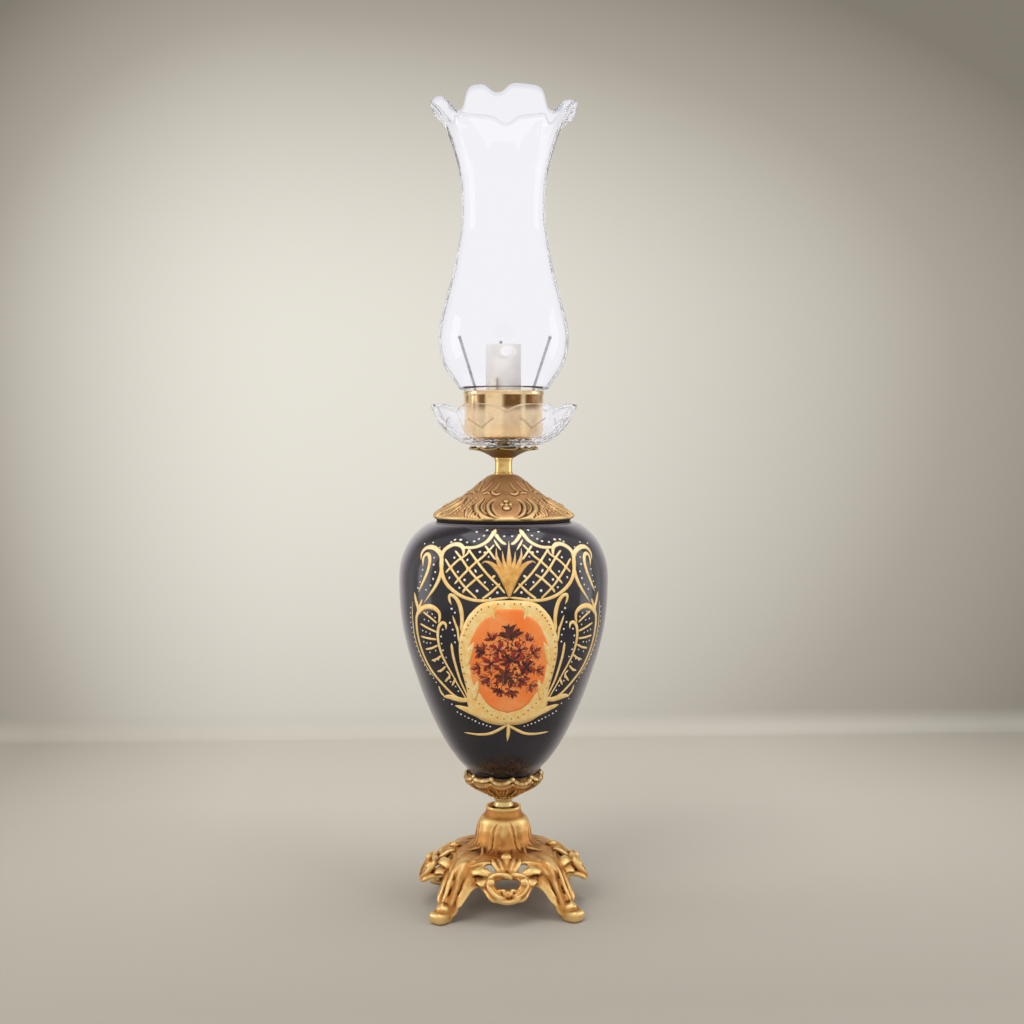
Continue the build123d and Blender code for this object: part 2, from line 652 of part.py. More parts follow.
with BuildPart(Plane(origin=(post_x, post_y, plate_top_z))) as earth_post:
    Cylinder(POST_R, POST_H, align=UP)
    with Locations((0, 0, POST_H - POST_SCREW_LEN)):
        Cylinder(POST_SCREW_R, POST_SCREW_LEN, align=UP, mode=Mode.SUBTRACT)
keep(earth_post, "earth_post")

with BuildPart(post_top) as earth_screw:
    Cylinder(POST_R, POST_HEAD_H, align=UP)
    with Locations((0, 0, POST_HEAD_H - SLOT_DEPTH)):
        Box(2 * POST_R, SLOT_W, SLOT_DEPTH, align=UP, mode=Mode.SUBTRACT)
    with Locations((0, 0, -POST_SCREW_LEN)):
        Cylinder(POST_SCREW_R, POST_SCREW_LEN, align=UP)
keep(earth_screw, "earth_screw")

# ---------------------------------------------------------------- chimney
# Blown glass: a collar in the gallery, a round belly, a throat and a flared, ruffled rim
rim_z = chimney_z + CHIMNEY_H
shoulder_z = chimney_z + CHIMNEY_BELLY_Z + CHIMNEY_SHOULDER_RISE
with BuildPart() as chimney:
    with BuildSketch(Plane.XZ):
        with BuildLine():
            wall = Spline(
                (CHIMNEY_FOOT_R, chimney_z + CHIMNEY_WALL),
                (0.9 * CHIMNEY_BELLY_R, chimney_z + 0.44 * CHIMNEY_BELLY_Z),
                (CHIMNEY_BELLY_R, chimney_z + CHIMNEY_BELLY_Z),
                (0.85 * CHIMNEY_BELLY_R, shoulder_z),
                (CHIMNEY_THROAT_R + 4, chimney_z + CHIMNEY_THROAT_Z - 30),
                (CHIMNEY_THROAT_R, chimney_z + CHIMNEY_THROAT_Z),
                (CHIMNEY_THROAT_R + 5, rim_z - 1.8 * CHIMNEY_FLARE_DROP),
                (CHIMNEY_FLARE_R, rim_z - CHIMNEY_FLARE_DROP),
                (CHIMNEY_RIM_R, rim_z),
            )
            Line(wall @ 0, (CHIMNEY_FOOT_R, chimney_z))
            Polyline((CHIMNEY_FOOT_R, chimney_z), (collar_r, chimney_z), (collar_r, chimney_z - COLLAR_H),
                     (collar_r - CHIMNEY_WALL, chimney_z - COLLAR_H))
            inner_wall = Spline(
                (collar_r - CHIMNEY_WALL, chimney_z + CHIMNEY_WALL / 2),
                (CHIMNEY_FOOT_R - CHIMNEY_WALL, chimney_z + 2.5 * CHIMNEY_WALL),
                (0.9 * CHIMNEY_BELLY_R - CHIMNEY_WALL, chimney_z + 0.44 * CHIMNEY_BELLY_Z + CHIMNEY_WALL / 2),
                (CHIMNEY_BELLY_R - CHIMNEY_WALL, chimney_z + CHIMNEY_BELLY_Z),
                (0.85 * CHIMNEY_BELLY_R - CHIMNEY_WALL, shoulder_z),
                (CHIMNEY_THROAT_R + 4 - CHIMNEY_WALL, chimney_z + CHIMNEY_THROAT_Z - 30),
                (CHIMNEY_THROAT_R - CHIMNEY_WALL, chimney_z + CHIMNEY_THROAT_Z),
                (CHIMNEY_THROAT_R + 5 - CHIMNEY_WALL, rim_z - 1.8 * CHIMNEY_FLARE_DROP),
                (CHIMNEY_FLARE_R - CHIMNEY_WALL, rim_z - CHIMNEY_FLARE_DROP),
                (CHIMNEY_RIM_R - CHIMNEY_WALL, rim_z),
            )
            Line((collar_r - CHIMNEY_WALL, chimney_z - COLLAR_H), inner_wall @ 0)
            Line(inner_wall @ 1, wall @ 1)
        make_face()
    revolve(axis=Axis.Z)
    # Valleys of the ruffle, cut across the rim
    for number in range(RUFFLES):
        valley_bearing = radians(-90 + number * 360 / RUFFLES)
        valley_plane = Plane(
            origin=(0, 0, rim_z + RUFFLE_DEPTH),
            x_dir=(-sin(valley_bearing), cos(valley_bearing), 0),
            z_dir=(cos(valley_bearing), sin(valley_bearing), 0),
        )
        with BuildSketch(valley_plane.offset(CHIMNEY_THROAT_R)):
            Circle(2 * RUFFLE_DEPTH)
        extrude(amount=CHIMNEY_RIM_R, mode=Mode.SUBTRACT)
keep(chimney, "chimney")
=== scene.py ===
import math
import random

import bmesh
import bpy
import numpy as np
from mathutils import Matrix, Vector
from mathutils.kdtree import KDTree


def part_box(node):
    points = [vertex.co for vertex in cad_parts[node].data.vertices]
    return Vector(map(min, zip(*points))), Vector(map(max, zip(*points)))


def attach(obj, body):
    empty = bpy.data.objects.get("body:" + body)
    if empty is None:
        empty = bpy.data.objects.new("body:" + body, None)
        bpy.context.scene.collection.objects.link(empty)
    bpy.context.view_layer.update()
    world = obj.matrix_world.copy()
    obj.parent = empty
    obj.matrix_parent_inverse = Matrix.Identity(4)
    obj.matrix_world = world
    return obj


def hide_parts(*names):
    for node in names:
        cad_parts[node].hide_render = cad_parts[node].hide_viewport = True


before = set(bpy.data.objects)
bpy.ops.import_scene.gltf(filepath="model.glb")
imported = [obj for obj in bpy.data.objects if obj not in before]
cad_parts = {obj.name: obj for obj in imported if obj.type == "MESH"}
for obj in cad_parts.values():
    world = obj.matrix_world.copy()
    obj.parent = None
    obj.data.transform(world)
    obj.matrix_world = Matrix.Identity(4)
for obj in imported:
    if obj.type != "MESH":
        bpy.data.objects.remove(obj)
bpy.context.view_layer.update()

# ------------------------------------------------------------------ foot
# Sand-cast brass foot: a ribbed bell on a square skirt with four cabriole legs and an open scroll
# ring on each side. It is one hollow casting, chased by hand, then browned and rubbed back to gold.
mm = 0.001
FOOT_WALL = 2.4
FOOT_VOXEL = 0.62

bell_line = [
    (11.4, 72.6), (12.8, 73.4), (13.3, 72.6), (13.2, 70.6), (13.6, 68.6), (14.8, 66.8), (16.8, 65.2),
    (18.3, 63.2), (19.1, 60.2), (19.8, 57), (20.6, 52), (21.8, 48), (23.8, 45.4),
]
knee_line = [
    (27.4, 43.6), (34, 42.6), (41, 41.8), (46.6, 40), (50.6, 36.8), (53.8, 32.6), (56.8, 26.6), (61.4, 19.5),
    (67.4, 12), (71, 6.8),
]
side_line = [
    (27, 44), (31.4, 43.4), (35.8, 42.4), (39.6, 40.2), (42, 37.2), (43.4, 34.4), (44.2, 31.8), (44.7, 29.8),
    (45, 28), (45, 26),
]
# Lower edge of the skirt and legs: angle from the corner, distance from the axis, height
edge_line = [
    (0, 69.6, 3), (5, 68.4, 3), (6.4, 65.5, 3.5), (7.6, 63.4, 5.5), (9, 62, 9.6), (10.7, 60.2, 13.6),
    (13, 57, 17.8), (15.4, 53.8, 21.1), (18.5, 50.4, 23.7), (21.5, 48.4, 24.8), (25, 47, 24.9),
    (28, 46.2, 24.6), (36, 45.2, 25), (45, 45, 26),
]
# Chased grooves down the bell, one set for each quarter: angle from the quarter's middle, height
bell_grooves = [
    [(-10, 64.6), (-19, 62.4), (-24, 57), (-25, 50), (-26.5, 44), (-34, 40)],
    [(13, 64), (18, 58), (21, 50), (24, 44), (30, 40)],
]


def tint(red, green, blue):
    """A colour given on the 0 to 255 scale, made linear."""
    channels = [value / 255 for value in (red, green, blue)]
    return tuple(c / 12.92 if c <= 0.04045 else ((c + 0.055) / 1.055) ** 2.4 for c in channels) + (1,)


def smooth_line(points, steps=8):
    """A smooth line through given points."""
    spots = np.array(points, float)
    spots = np.vstack([2 * spots[0] - spots[1], spots, 2 * spots[-1] - spots[-2]])
    line = []
    for before, here, there, after in zip(spots, spots[1:], spots[2:], spots[3:]):
        for step in np.arange(steps) / steps:
            line.append(0.5 * (2 * here + (there - before) * step
                               + (2 * before - 5 * here + 4 * there - after) * step ** 2
                               + (3 * here - before - 3 * there + after) * step ** 3))
    return np.array(line + [spots[-2]])


def evenly(line, count):
    """The same line, walked in equal steps."""
    line = np.asarray(line, float)
    walked = np.r_[0, np.cumsum(np.linalg.norm(np.diff(line, axis=0), axis=1))]
    marks = np.linspace(0, walked[-1], count)
    return np.stack([np.interp(marks, walked, line[:, k]) for k in range(line.shape[1])], axis=1)


def whole_turn(columns):
    """Bearings all the way round, in even steps."""
    return np.linspace(0, 2 * np.pi, columns, endpoint=False)


def length_of(line):
    """How long a line is, from end to end."""
    return np.sum(np.linalg.norm(np.diff(line, axis=0), axis=1))


def unit(vectors):
    """The same directions, each of length one."""
    return vectors / np.maximum(np.linalg.norm(vectors, axis=-1, keepdims=True), 1e-9)


def round_axis(reach, height, bearing):
    """Points at a distance from the lamp's axis, a height and a bearing from the front."""
    return np.stack([reach * np.sin(bearing), -reach * np.cos(bearing), height + 0 * bearing], axis=2)


def facing(grid):
    """Outward unit normals of a grid of rows (downwards) and columns (round the axis)."""
    wide = np.concatenate([grid[:, -1:], grid, grid[:, :1]], axis=1)
    return unit(np.cross(np.gradient(grid, axis=0), np.gradient(wide, axis=1)[:, 1:-1]))


def shell(outer, inner, kept=None, around=True):
    """A closed wall between two grids: points and faces. Where kept is false the wall is pierced."""
    rows, columns = outer.shape[:2]
    spot = np.arange(rows * columns).reshape(rows, columns)
    beside = np.roll(spot, -1, axis=1)
    quads = np.stack([spot[:-1], spot[1:], beside[1:], beside[:-1]], axis=2)
    if not around:
        quads = quads[:, :-1]
    quads = quads.reshape(-1, 4) if kept is None else quads[kept[:, :quads.shape[1]]]
    total = rows * columns
    edges = np.concatenate([quads[:, [k, (k + 1) % 4]] for k in range(4)])
    rims = edges[~np.isin(edges[:, 0] * total + edges[:, 1], edges[:, 1] * total + edges[:, 0])]
    walls = np.stack([rims[:, 1], rims[:, 0], rims[:, 0] + total, rims[:, 1] + total], axis=1)
    faces = np.concatenate([quads, quads[:, ::-1] + total, walls])
    used, faces = np.unique(faces, return_inverse=True)
    points = np.concatenate([outer.reshape(-1, 3), inner.reshape(-1, 3)])[used]
    return points, faces.reshape(-1, 4)


def capped(rings, start, end):
    """A row of rings closed into a skin, with a point at each end."""
    count, sides = rings.shape[:2]
    spot = np.arange(count * sides).reshape(count, sides)
    beside = np.roll(spot, -1, axis=1)
    faces = np.stack([spot[:-1], spot[1:], beside[1:], beside[:-1]], axis=2).reshape(-1, 4).tolist()
    faces += [(spot[0, k], beside[0, k], count * sides) for k in range(sides)]
    faces += [(beside[-1, k], spot[-1, k], count * sides + 1) for k in range(sides)]
    return np.concatenate([rings.reshape(-1, 3), [start, end]]), faces


def bead_count(path):
    """How many rings a strand along this path has."""
    return max(8, int(2 + length_of(path) / 0.8))


def strand(path, width, height=None, up=(0, 0, 1.0), blunt=0.25, sides=10):
    """A closed bead along a path, thinning at both ends: a chased ridge, a stem or a scroll."""
    path = evenly(path, bead_count(path))
    height = width if height is None else height
    along = unit(np.gradient(path, axis=0))
    wide = unit(np.cross(along, np.broadcast_to(up, path.shape)))[:, None]
    tall = np.cross(wide[:, 0], along)[:, None]
    share = np.linspace(0, 1, len(path))
    taper = np.maximum(np.clip(np.minimum(share, 1 - share) / blunt, 0, 1) ** 0.6, 0.12)[:, None, None]
    turn = whole_turn(sides)[None, :, None]
    rings = path[:, None] + taper * (width * np.cos(turn) * wide + height * np.sin(turn) * tall)
    return capped(rings, path[0], path[-1])


def pebble(centre, halves, axes=None, squareness=2.0, rows=14, columns=24):
    """A rounded lump, from an egg to a soft block."""
    lat = np.linspace(0, np.pi, rows + 2)[1:-1]
    lon = whole_turn(columns)
    power = 2.0 / squareness

    def soft(value):
        return np.sign(value) * np.abs(value) ** power

    x = soft(np.sin(lat))[:, None] * soft(np.cos(lon))[None]
    y = soft(np.sin(lat))[:, None] * soft(np.sin(lon))[None]
    z = np.repeat(soft(np.cos(lat))[:, None], columns, axis=1)
    local = np.stack([x * halves[0], y * halves[1], z * halves[2]], axis=2).reshape(-1, 3)
    local = np.vstack([local, [[0, 0, halves[2]], [0, 0, -halves[2]]]])
    points = np.array(centre, float) + local @ (np.eye(3) if axes is None else np.array(axes, float))
    return capped(points[:-2].reshape(rows, columns, 3), points[-2], points[-1])


def closed_round(grid):
    """A ring-shaped skin, closed both round the axis and round its own section."""
    rows, columns = grid.shape[:2]
    spot = np.arange(rows * columns).reshape(rows, columns)
    below = np.roll(spot, -1, axis=0)
    faces = np.stack([spot, below, np.roll(below, -1, axis=1), np.roll(spot, -1, axis=1)], axis=2)
    return grid.reshape(-1, 3), faces.reshape(-1, 4)


def turned(part, degrees):
    """The same part, turned about the lamp's axis."""
    c, s = math.cos(math.radians(degrees)), math.sin(math.radians(degrees))
    points = np.asarray(part[0])
    return points @ np.array([[c, s, 0], [-s, c, 0], [0, 0, 1]]), part[1]


def make_piece(name, parts):
    """One mesh object from several closed parts, given in millimetres."""
    points, faces, shift = [], [], 0
    for part_points, part_faces in parts:
        points.append(np.asarray(part_points) * mm)
        faces += [tuple(int(v) + shift for v in face) for face in part_faces]
        shift += len(part_points)
    mesh = bpy.data.meshes.new(name)
    mesh.from_pydata(np.concatenate(points).tolist(), [], faces)
    work = bmesh.new()
    work.from_mesh(mesh)
    bmesh.ops.recalc_face_normals(work, faces=work.faces)
    work.to_mesh(mesh)
    work.free()
    piece = bpy.data.objects.new(name, mesh)
    bpy.context.scene.collection.objects.link(piece)
    mesh.shade_smooth()
    return piece


def bake_modifiers(piece):
    """Settle the piece's modifiers into its mesh."""
    bpy.context.view_layer.update()
    settled = bpy.data.meshes.new_from_object(piece.evaluated_get(bpy.context.evaluated_depsgraph_get()))
    piece.modifiers.clear()
    old = piece.data
    piece.data = settled
    bpy.data.meshes.remove(old)
    piece.data.name = piece.name
    piece.data.shade_smooth()
    return piece


def cast_together(piece, voxel, rounds=2, most=190000):
    """Melt overlapping parts into one skin, as a casting is, and soften it as sand does."""
    melt = piece.modifiers.new("melt", "REMESH")
    melt.mode = "VOXEL"
    melt.voxel_size = voxel * mm
    soften = piece.modifiers.new("soften", "SMOOTH")
    soften.factor = 0.5
    soften.iterations = rounds
    bake_modifiers(piece)
    triangles = sum(len(face.vertices) - 2 for face in piece.data.polygons)
    if triangles > most:
        thin = piece.modifiers.new("thin", "DECIMATE")
        thin.ratio = most / triangles
        bake_modifiers(piece)
    return piece


def store(piece, name, values):
    """Keep a value for each of the piece's points, for its material to read."""
    mark = piece.data.attributes.new(name, "FLOAT", "POINT")
    mark.data.foreach_set("value", values.ravel().astype(np.float32))


def mark_relief(piece, reach, depth):
    """Store how far each point stands proud of its surroundings (1) or lies in a hollow (0)."""
    mesh = piece.data
    count = len(mesh.vertices)
    place = np.empty(count * 3)
    mesh.vertices.foreach_get("co", place)
    place = place.reshape(-1, 3)
    normal = np.empty(count * 3)
    mesh.vertices.foreach_get("normal", normal)
    normal = normal.reshape(-1, 3)
    ends = np.empty(len(mesh.edges) * 2, int)
    mesh.edges.foreach_get("vertices", ends)
    first, second = ends.reshape(-1, 2).T
    share = np.maximum(np.bincount(first, minlength=count) + np.bincount(second, minlength=count), 1)
    blurred = place.copy()
    for _ in range(reach):
        for axis in range(3):
            total = (np.bincount(first, blurred[second, axis], count)
                     + np.bincount(second, blurred[first, axis], count))
            blurred[:, axis] = total / share
    proud = np.einsum("ij,ij->i", place - blurred, normal) / (depth * mm)
    level = np.clip(0.5 + 0.5 * proud, 0, 1)
    for _ in range(2):
        level = 0.5 * level + 0.5 * (np.bincount(first, level[second], count)
                                     + np.bincount(second, level[first], count)) / share
    store(piece, "relief", level)
    return piece


# Bell and skirt: a grid of heights down the wall and bearings round the axis
bearings = np.radians(np.arange(0, 360, 0.5))
bell_rows = evenly(smooth_line(bell_line), 76)
knee_rows = evenly(smooth_line([bell_line[-1]] + knee_line), 120)[1:]
side_rows = evenly(smooth_line([bell_line[-1]] + side_line), 120)[1:]
from_corner = np.abs((np.degrees(bearings) % 90) - 45)
legness = np.exp(-(from_corner / 15.0) ** 2)
edge = np.array(edge_line)
edge_spot = np.stack([np.interp(from_corner, edge[:, 0], edge[:, k]) for k in (1, 2)], axis=1)
skirt = (side_rows[:, None] * (1 - legness)[None, :, None] + knee_rows[:, None] * legness[None, :, None])
drift = (np.linspace(0, 1, len(skirt)) ** 2.2)[:, None, None]
skirt = skirt + drift * (edge_spot - skirt[-1])[None]
profile = np.concatenate([np.repeat(bell_rows[:, None], len(bearings), axis=1), skirt])
reach_r, level_z = profile[..., 0], profile[..., 1]
# Chased grooves with a raised lip each side, and a gently swelling panel between them
quarter = ((np.degrees(bearings) + 45) % 90) - 45
for groove in bell_grooves:
    line = evenly(smooth_line(groove), 80)[::-1]
    middle = np.interp(level_z, line[:, 1], line[:, 0])
    off = (quarter[None] - middle + 45) % 90 - 45
    aside = np.radians(off) * np.maximum(reach_r, 15)
    fade = np.clip((65.5 - level_z) / 4, 0, 1) * np.clip((level_z - 38.5) / 4, 0, 1)
    reach_r = reach_r - fade * 0.75 * np.exp(-(aside / 0.6) ** 2)
    reach_r = reach_r + fade * 0.3 * np.exp(-((np.abs(aside) - 1.7) / 1.0) ** 2)
swell = np.exp(-((quarter + 3) / 14.0) ** 2) * 0.7
reach_r = reach_r + swell[None] * np.exp(-((level_z - 53) / 8.0) ** 2)
wall = round_axis(reach_r, level_z, bearings)
wall_facing = facing(wall)
lining = wall - wall_facing * FOOT_WALL
lining[..., 2] = np.maximum(lining[..., 2], 1.0)
# Openings beside and behind each scroll ring, and a slit at each corner
across_face = reach_r * np.sin(np.radians(quarter))
open_under_ring = (np.abs(across_face) < 16.5) & (level_z < 34.5)
open_beside_ring = (((np.abs(across_face) - 12.8) / 4.2) ** 2 + ((level_z - 36.2) / 3.6) ** 2) < 1
open_corner = (((np.abs(across_face) - 33.0) / 2.6) ** 2 + ((level_z - 40.4) / 1.5) ** 2) < 1
kept = ~(open_under_ring | open_beside_ring | (open_corner & (np.abs(quarter) < 43)))[:-1]
foot_parts = [shell(wall, lining, kept)]
# The bell's open mouth is closed by the deck that the threaded tube passes through
deck_ring = np.array([(12.6, 71.2), (9.8, 71), (9.4, 69.6), (5.2, 69.6), (5.2, 66.6), (12.6, 66.6)])
foot_parts.append(closed_round(round_axis(deck_ring[:, :1], deck_ring[:, 1:], bearings[::8])))

# Places on one face of the foot, given as seen from the front: across and up
front_columns = np.abs(((np.degrees(bearings) + 180) % 360) - 180) < 52
front_wall = wall[:, front_columns].reshape(-1, 3)
front_facing = wall_facing[:, front_columns].reshape(-1, 3)
seen = front_facing[:, 1] < 0.15
front_wall, front_facing = front_wall[seen], front_facing[seen]
front_tree = KDTree(len(front_wall))
for number, (x, y, z) in enumerate(front_wall):
    front_tree.insert((x, 0.12 * y, z), number)
front_tree.balance()


def on_face(points, sink=0.2):
    """Path and facing along the foot's front face, from points across and up."""
    line = evenly(smooth_line(points), 40)
    found = [front_tree.find((x, -6.0, z))[1] for x, z in line]
    path, lift = front_wall[found], front_facing[found]
    for _ in range(3):
        path[1:-1] = (path[:-2] + 2 * path[1:-1] + path[2:]) / 4
        lift[1:-1] = (lift[:-2] + 2 * lift[1:-1] + lift[2:]) / 4
    return path - lift * sink, lift


# Ridges on one face: points across and up, half width, half height
face_ridges = [
    # fan from the knee to the toe on the left leg
    ([(-35.2, 44), (-36.4, 39.5), (-37.2, 34.7), (-38.4, 28)], 1.0, 0.7),
    ([(-31, 39.5), (-34.6, 33), (-37.6, 26), (-40.4, 19), (-42.6, 13.4)], 1.0, 0.8),
    ([(-28, 37.4), (-31.6, 31), (-34.6, 24.6), (-38, 17.6), (-41, 12)], 1.1, 0.8),
    ([(-38.8, 41), (-40.6, 35), (-42.4, 28), (-44.4, 21), (-46.6, 14)], 1.0, 0.7),
    # smooth broad flange along the arch, left and right
    ([(-14.6, 25), (-18.6, 27.8), (-22.4, 28), (-26.4, 25.6), (-30.6, 20.8), (-35.4, 13.8), (-40, 8)], 3.1,
     1.1),
    ([(14.6, 25), (18.6, 27.6), (22.4, 27.8), (26.4, 25.4), (30.6, 20.6), (35.4, 13.8), (40.2, 8)], 2.8, 1.1),
    # leaf over the left arch
    ([(-19.6, 36.2), (-23.4, 34.2), (-27, 30.4), (-30.6, 24.6), (-34, 18.6)], 1.6, 1.1),
    # long bright leaf from the ring down the right leg
    ([(15.6, 38), (21.2, 37.6), (27, 34.8), (31.6, 30), (35.2, 24.8), (38.2, 18.4)], 2.0, 1.4),
    ([(18.6, 33.6), (23.4, 32.6), (27.4, 29.4), (31, 24.6), (34, 19.4)], 0.9, 0.7),
    # thin ridges beside the right leg's crest
    ([(29, 39.6), (33.6, 33.4), (37.2, 26.8), (41, 19.8), (44.6, 13)], 0.9, 0.8),
    ([(35.4, 42), (38.8, 35.4), (41.6, 29), (44.6, 21), (47.2, 14)], 1.0, 0.7),
    # lids over the corner slits
    ([(21.6, 41.4), (25, 42), (28.6, 41.4)], 1.0, 0.7),
    ([(-21.6, 41.4), (-25, 42), (-28.6, 41.4)], 1.0, 0.7),
    # brows over the openings beside the ring
    ([(-31, 38.8), (-26.6, 37.6), (-22, 39), (-16.4, 40.6), (-10.6, 40.4), (-6.4, 38), (-4, 34.8)], 1.2, 1.0),
    ([(31, 39), (26.4, 38.2), (21.6, 39.6), (15.6, 40.6), (10.2, 40.2), (6.6, 37.8), (4.2, 34.8)], 1.2, 1.0),
    ([(-22, 42.4), (-17.2, 42), (-12.6, 42.8), (-8.4, 42), (-4.6, 38.8)], 0.9, 0.7),
    ([(22, 42.2), (17.2, 42.2), (12.6, 42.8), (8.4, 41.8), (4.6, 38.8)], 0.9, 0.7),
    # leaf tips up the foot of the bell
    ([(-16.8, 42.6), (-17.4, 46), (-15.2, 50)], 0.8, 0.5),
    ([(17.2, 42.8), (15, 46.6), (14.6, 51.4)], 0.8, 0.5),
    ([(-7.4, 43.6), (-6.4, 46.6), (-3.4, 48.6)], 1.0, 0.6),
    ([(8.6, 43), (6.2, 46), (3.6, 48.4)], 1.0, 0.6),
]
one_side = []
for points, half_wide, half_high in face_ridges:
    path, lift = on_face(points, 0.3)
    share, given_share = np.linspace(0, 1, bead_count(path)), np.linspace(0, 1, len(lift))
    lifts = np.stack([np.interp(share, given_share, lift[:, k]) for k in range(3)], axis=1)
    one_side.append(strand(path, 1.15 * half_wide, 0.8 * half_high, up=lifts))

# Crest that climbs from the ring over a rolled knob to the bell, with leaves laid each side of it
crest = smooth_line([(0, -24, 44), (0, -30.4, 44), (0, -36.4, 45.4), (0, -41.6, 42.4), (0, -46, 37.6),
                     (0, -50.6, 33.2)])
one_side.append(strand(crest - np.array([0, 0, 2.2]), 3.0, 2.2, up=(0, -0.3, 1), blunt=0.25, sides=14))
under_crest = smooth_line([(0, -30, 41.6), (0, -37, 41.4), (0, -43, 37.4), (0, -48.6, 32.4)])
one_side.append(strand(under_crest, 7.4, 2.2, up=(0, -0.3, 1), blunt=0.3, sides=14))
for tilt in (-1, 1):
    for leaf, wide in (([(2.4, 35.6), (5.6, 38.4), (8.6, 40.6), (11, 42.4)], 2.2),
                       ([(1.6, 36), (3.6, 39.2), (5.4, 41.8), (6.4, 44)], 1.6)):
        path, lift = on_face([(tilt * x, z) for x, z in leaf], 0.1)
        one_side.append(strand(path, wide, 0.9, up=(0, -0.5, 1), blunt=0.3, sides=12))
one_side.append(pebble((0, -36.2, 43.6), (3.9, 3.8, 2.9), rows=12, columns=20))
for tilt in (-1, 1):
    for reach, wide, high in ((1, 2.5, 1.8), (1.75, 2.1, 1.6)):
        lobe = smooth_line([(1.6 * tilt, -49.6, 33.4), (3.6 * reach * tilt, -45.4, 37.6),
                            (5.2 * reach * tilt, -41.0, 41.2), (5.8 * reach * tilt, -36.6, 42.9)])
        one_side.append(strand(lobe, wide, high, up=(0.3 * tilt, -0.5, 1), blunt=0.3, sides=12))

# Scroll ring: its own leaning plane, with a point across and a point up the slope
ring_middle = np.array([0.0, -55.4, 27.2])
ring_across, ring_up, ring_out = ring_axes = np.array([(1, 0, 0), (0, 0.6, 0.8), (0, -0.8, 0.6)])


def on_ring(points, lift=0.0):
    """Points on the ring's slope; it is squashed above the eye and fuller below it."""
    line = smooth_line(points, 6)
    rise = np.interp(line[:, 1:2], (-16.6, -5, 5.4, 10.2), (-10.9, -1.9, 6.6, 9.4))
    return ring_middle + 0.92 * line[:, :1] * ring_across + rise * ring_up + lift * ring_out


def ring_bead(points, wide, high, lift=0.0, **ends):
    """A bead laid along the ring's slope."""
    return strand(on_ring(points, lift), wide, high, up=ring_out, **ends)


ring_cos, ring_sin = np.cos(whole_turn(72)), np.sin(whole_turn(72))
eye_x, eye_y = 9.4 * ring_cos, 2.4 + 3.9 * np.sign(ring_sin) * np.abs(ring_sin) ** 0.75
rim_x, rim_y = 14.2 * ring_cos, -0.8 + 10.0 * ring_sin
top_face, low_face = [], []
for share, thick in ((0, 0.9), (0.25, 1.6), (0.75, 1.7), (1, 0.8)):
    flat = (ring_middle + np.outer(eye_x + share * (rim_x - eye_x), ring_across)
            + np.outer(eye_y + share * (rim_y - eye_y), ring_up))
    top_face.append(flat + thick * ring_out)
    low_face.append(flat - 1.6 * ring_out)
one_side.append(shell(np.array(top_face), np.array(low_face)))
one_side += [
    ring_bead([(3.2, 2.9), (2.6, 5.6), (-1.4, 8.6), (-6.2, 9.6), (-10.6, 8.2), (-13.6, 3.8), (-14, -2.4),
               (-11.4, -8.6), (-6.6, -12.8), (-0.6, -14.2)], 2.3, 2.6, 1.2, blunt=0.12, sides=14),
    ring_bead([(-8.6, 5.4), (-11, 1.4), (-10.8, -3.4), (-8, -7.6), (-3.6, -10.4)], 1.0, 1.4, 1.6),
    ring_bead([(0.6, 9.4), (5.4, 10.2), (10.6, 8.8), (14.4, 4.8), (15.4, -0.8), (13.6, -7), (8.8, -12.2),
               (2.4, -14.8)],
              1.5, 2.0, 1.2, blunt=0.12),
    ring_bead([(2.8, 7.6), (7.4, 7.6), (11.2, 4.8), (12.8, 0.2), (11.4, -5.4), (7.4, -9.8), (2.8, -12)], 1.3,
              1.9, 1.4, blunt=0.12),
    ring_bead([(5.6, 5.6), (9, 3.8), (10.6, 0), (9.4, -4.4), (6, -7.8)], 1.0, 1.6, 1.4),
    ring_bead([(-12, -10), (-7.4, -14.6), (0, -16.6), (7.4, -14.6), (12, -10)], 1.9, 2.2, 0.4, blunt=0.15),
    ring_bead([(-9, -4.6), (-6, -6.4), (-3.4, -5.6), (-1.2, -7.6)], 1.2, 1.6, 1.2),
    ring_bead([(9.4, -5.4), (6.4, -7), (4, -5.6), (1.2, -7.4)], 1.2, 1.6, 1.2),
    ring_bead([(-3.4, -5.6), (-3, -9), (0, -12.4)], 1.0, 1.4, 1.6),
    ring_bead([(3.4, -5.6), (3, -9), (0, -12.4)], 1.0, 1.4, 1.6),
    pebble(ring_middle + ring_up * -4.6 + ring_out * 1.4, (2.2, 2, 1.5), ring_axes),
]
for tilt in (-1, 1):
    bump = ring_middle + np.array([tilt * 12.0, 0, 0]) + ring_up * 3.0 + ring_out * 2.0
    one_side.append(pebble(bump, (3, 3.5, 3.2), ring_axes))
    for on_leg, to_ring, wide, high, up, blunt in (
            # leaf arm from the leg over the opening to the ring's shoulder
            ([(29, 31.4), (25, 34.6)], [(18.4, -45, 36.4), (13.6, -47.6, 35.4), (9.6, -49.6, 33.6)],
             3.6, 1.5, (0, -0.7, 0.7), 0.3),
            # web that closes the hollow between the leg and the ring
            ([(25, 29.6), (20.4, 30.4)], [(16.8, -48.6, 29.6), (13.6, -52.6, 27.6)], 4.6, 1.3,
             (0, -0.75, 0.6), 0.25),
            # flange end that joins the ring's flank
            ([(22, 27.4), (18.6, 27)],
             [(15.6, -49.6, 25.6), (13.2, -55.6, 23.8), (10.6, -60.2, 20.6), (6.6, -62, 18.6)],
             3.0, 2.1, (0, -0.8, 0.6), 0.25)):
        start, lift = on_face([(tilt * x, z) for x, z in on_leg])
        arm = smooth_line([start[0], start[-1]] + [(tilt * x, y, z) for x, y, z in to_ring])
        one_side.append(strand(arm, wide, high, up=up, blunt=blunt, sides=12))

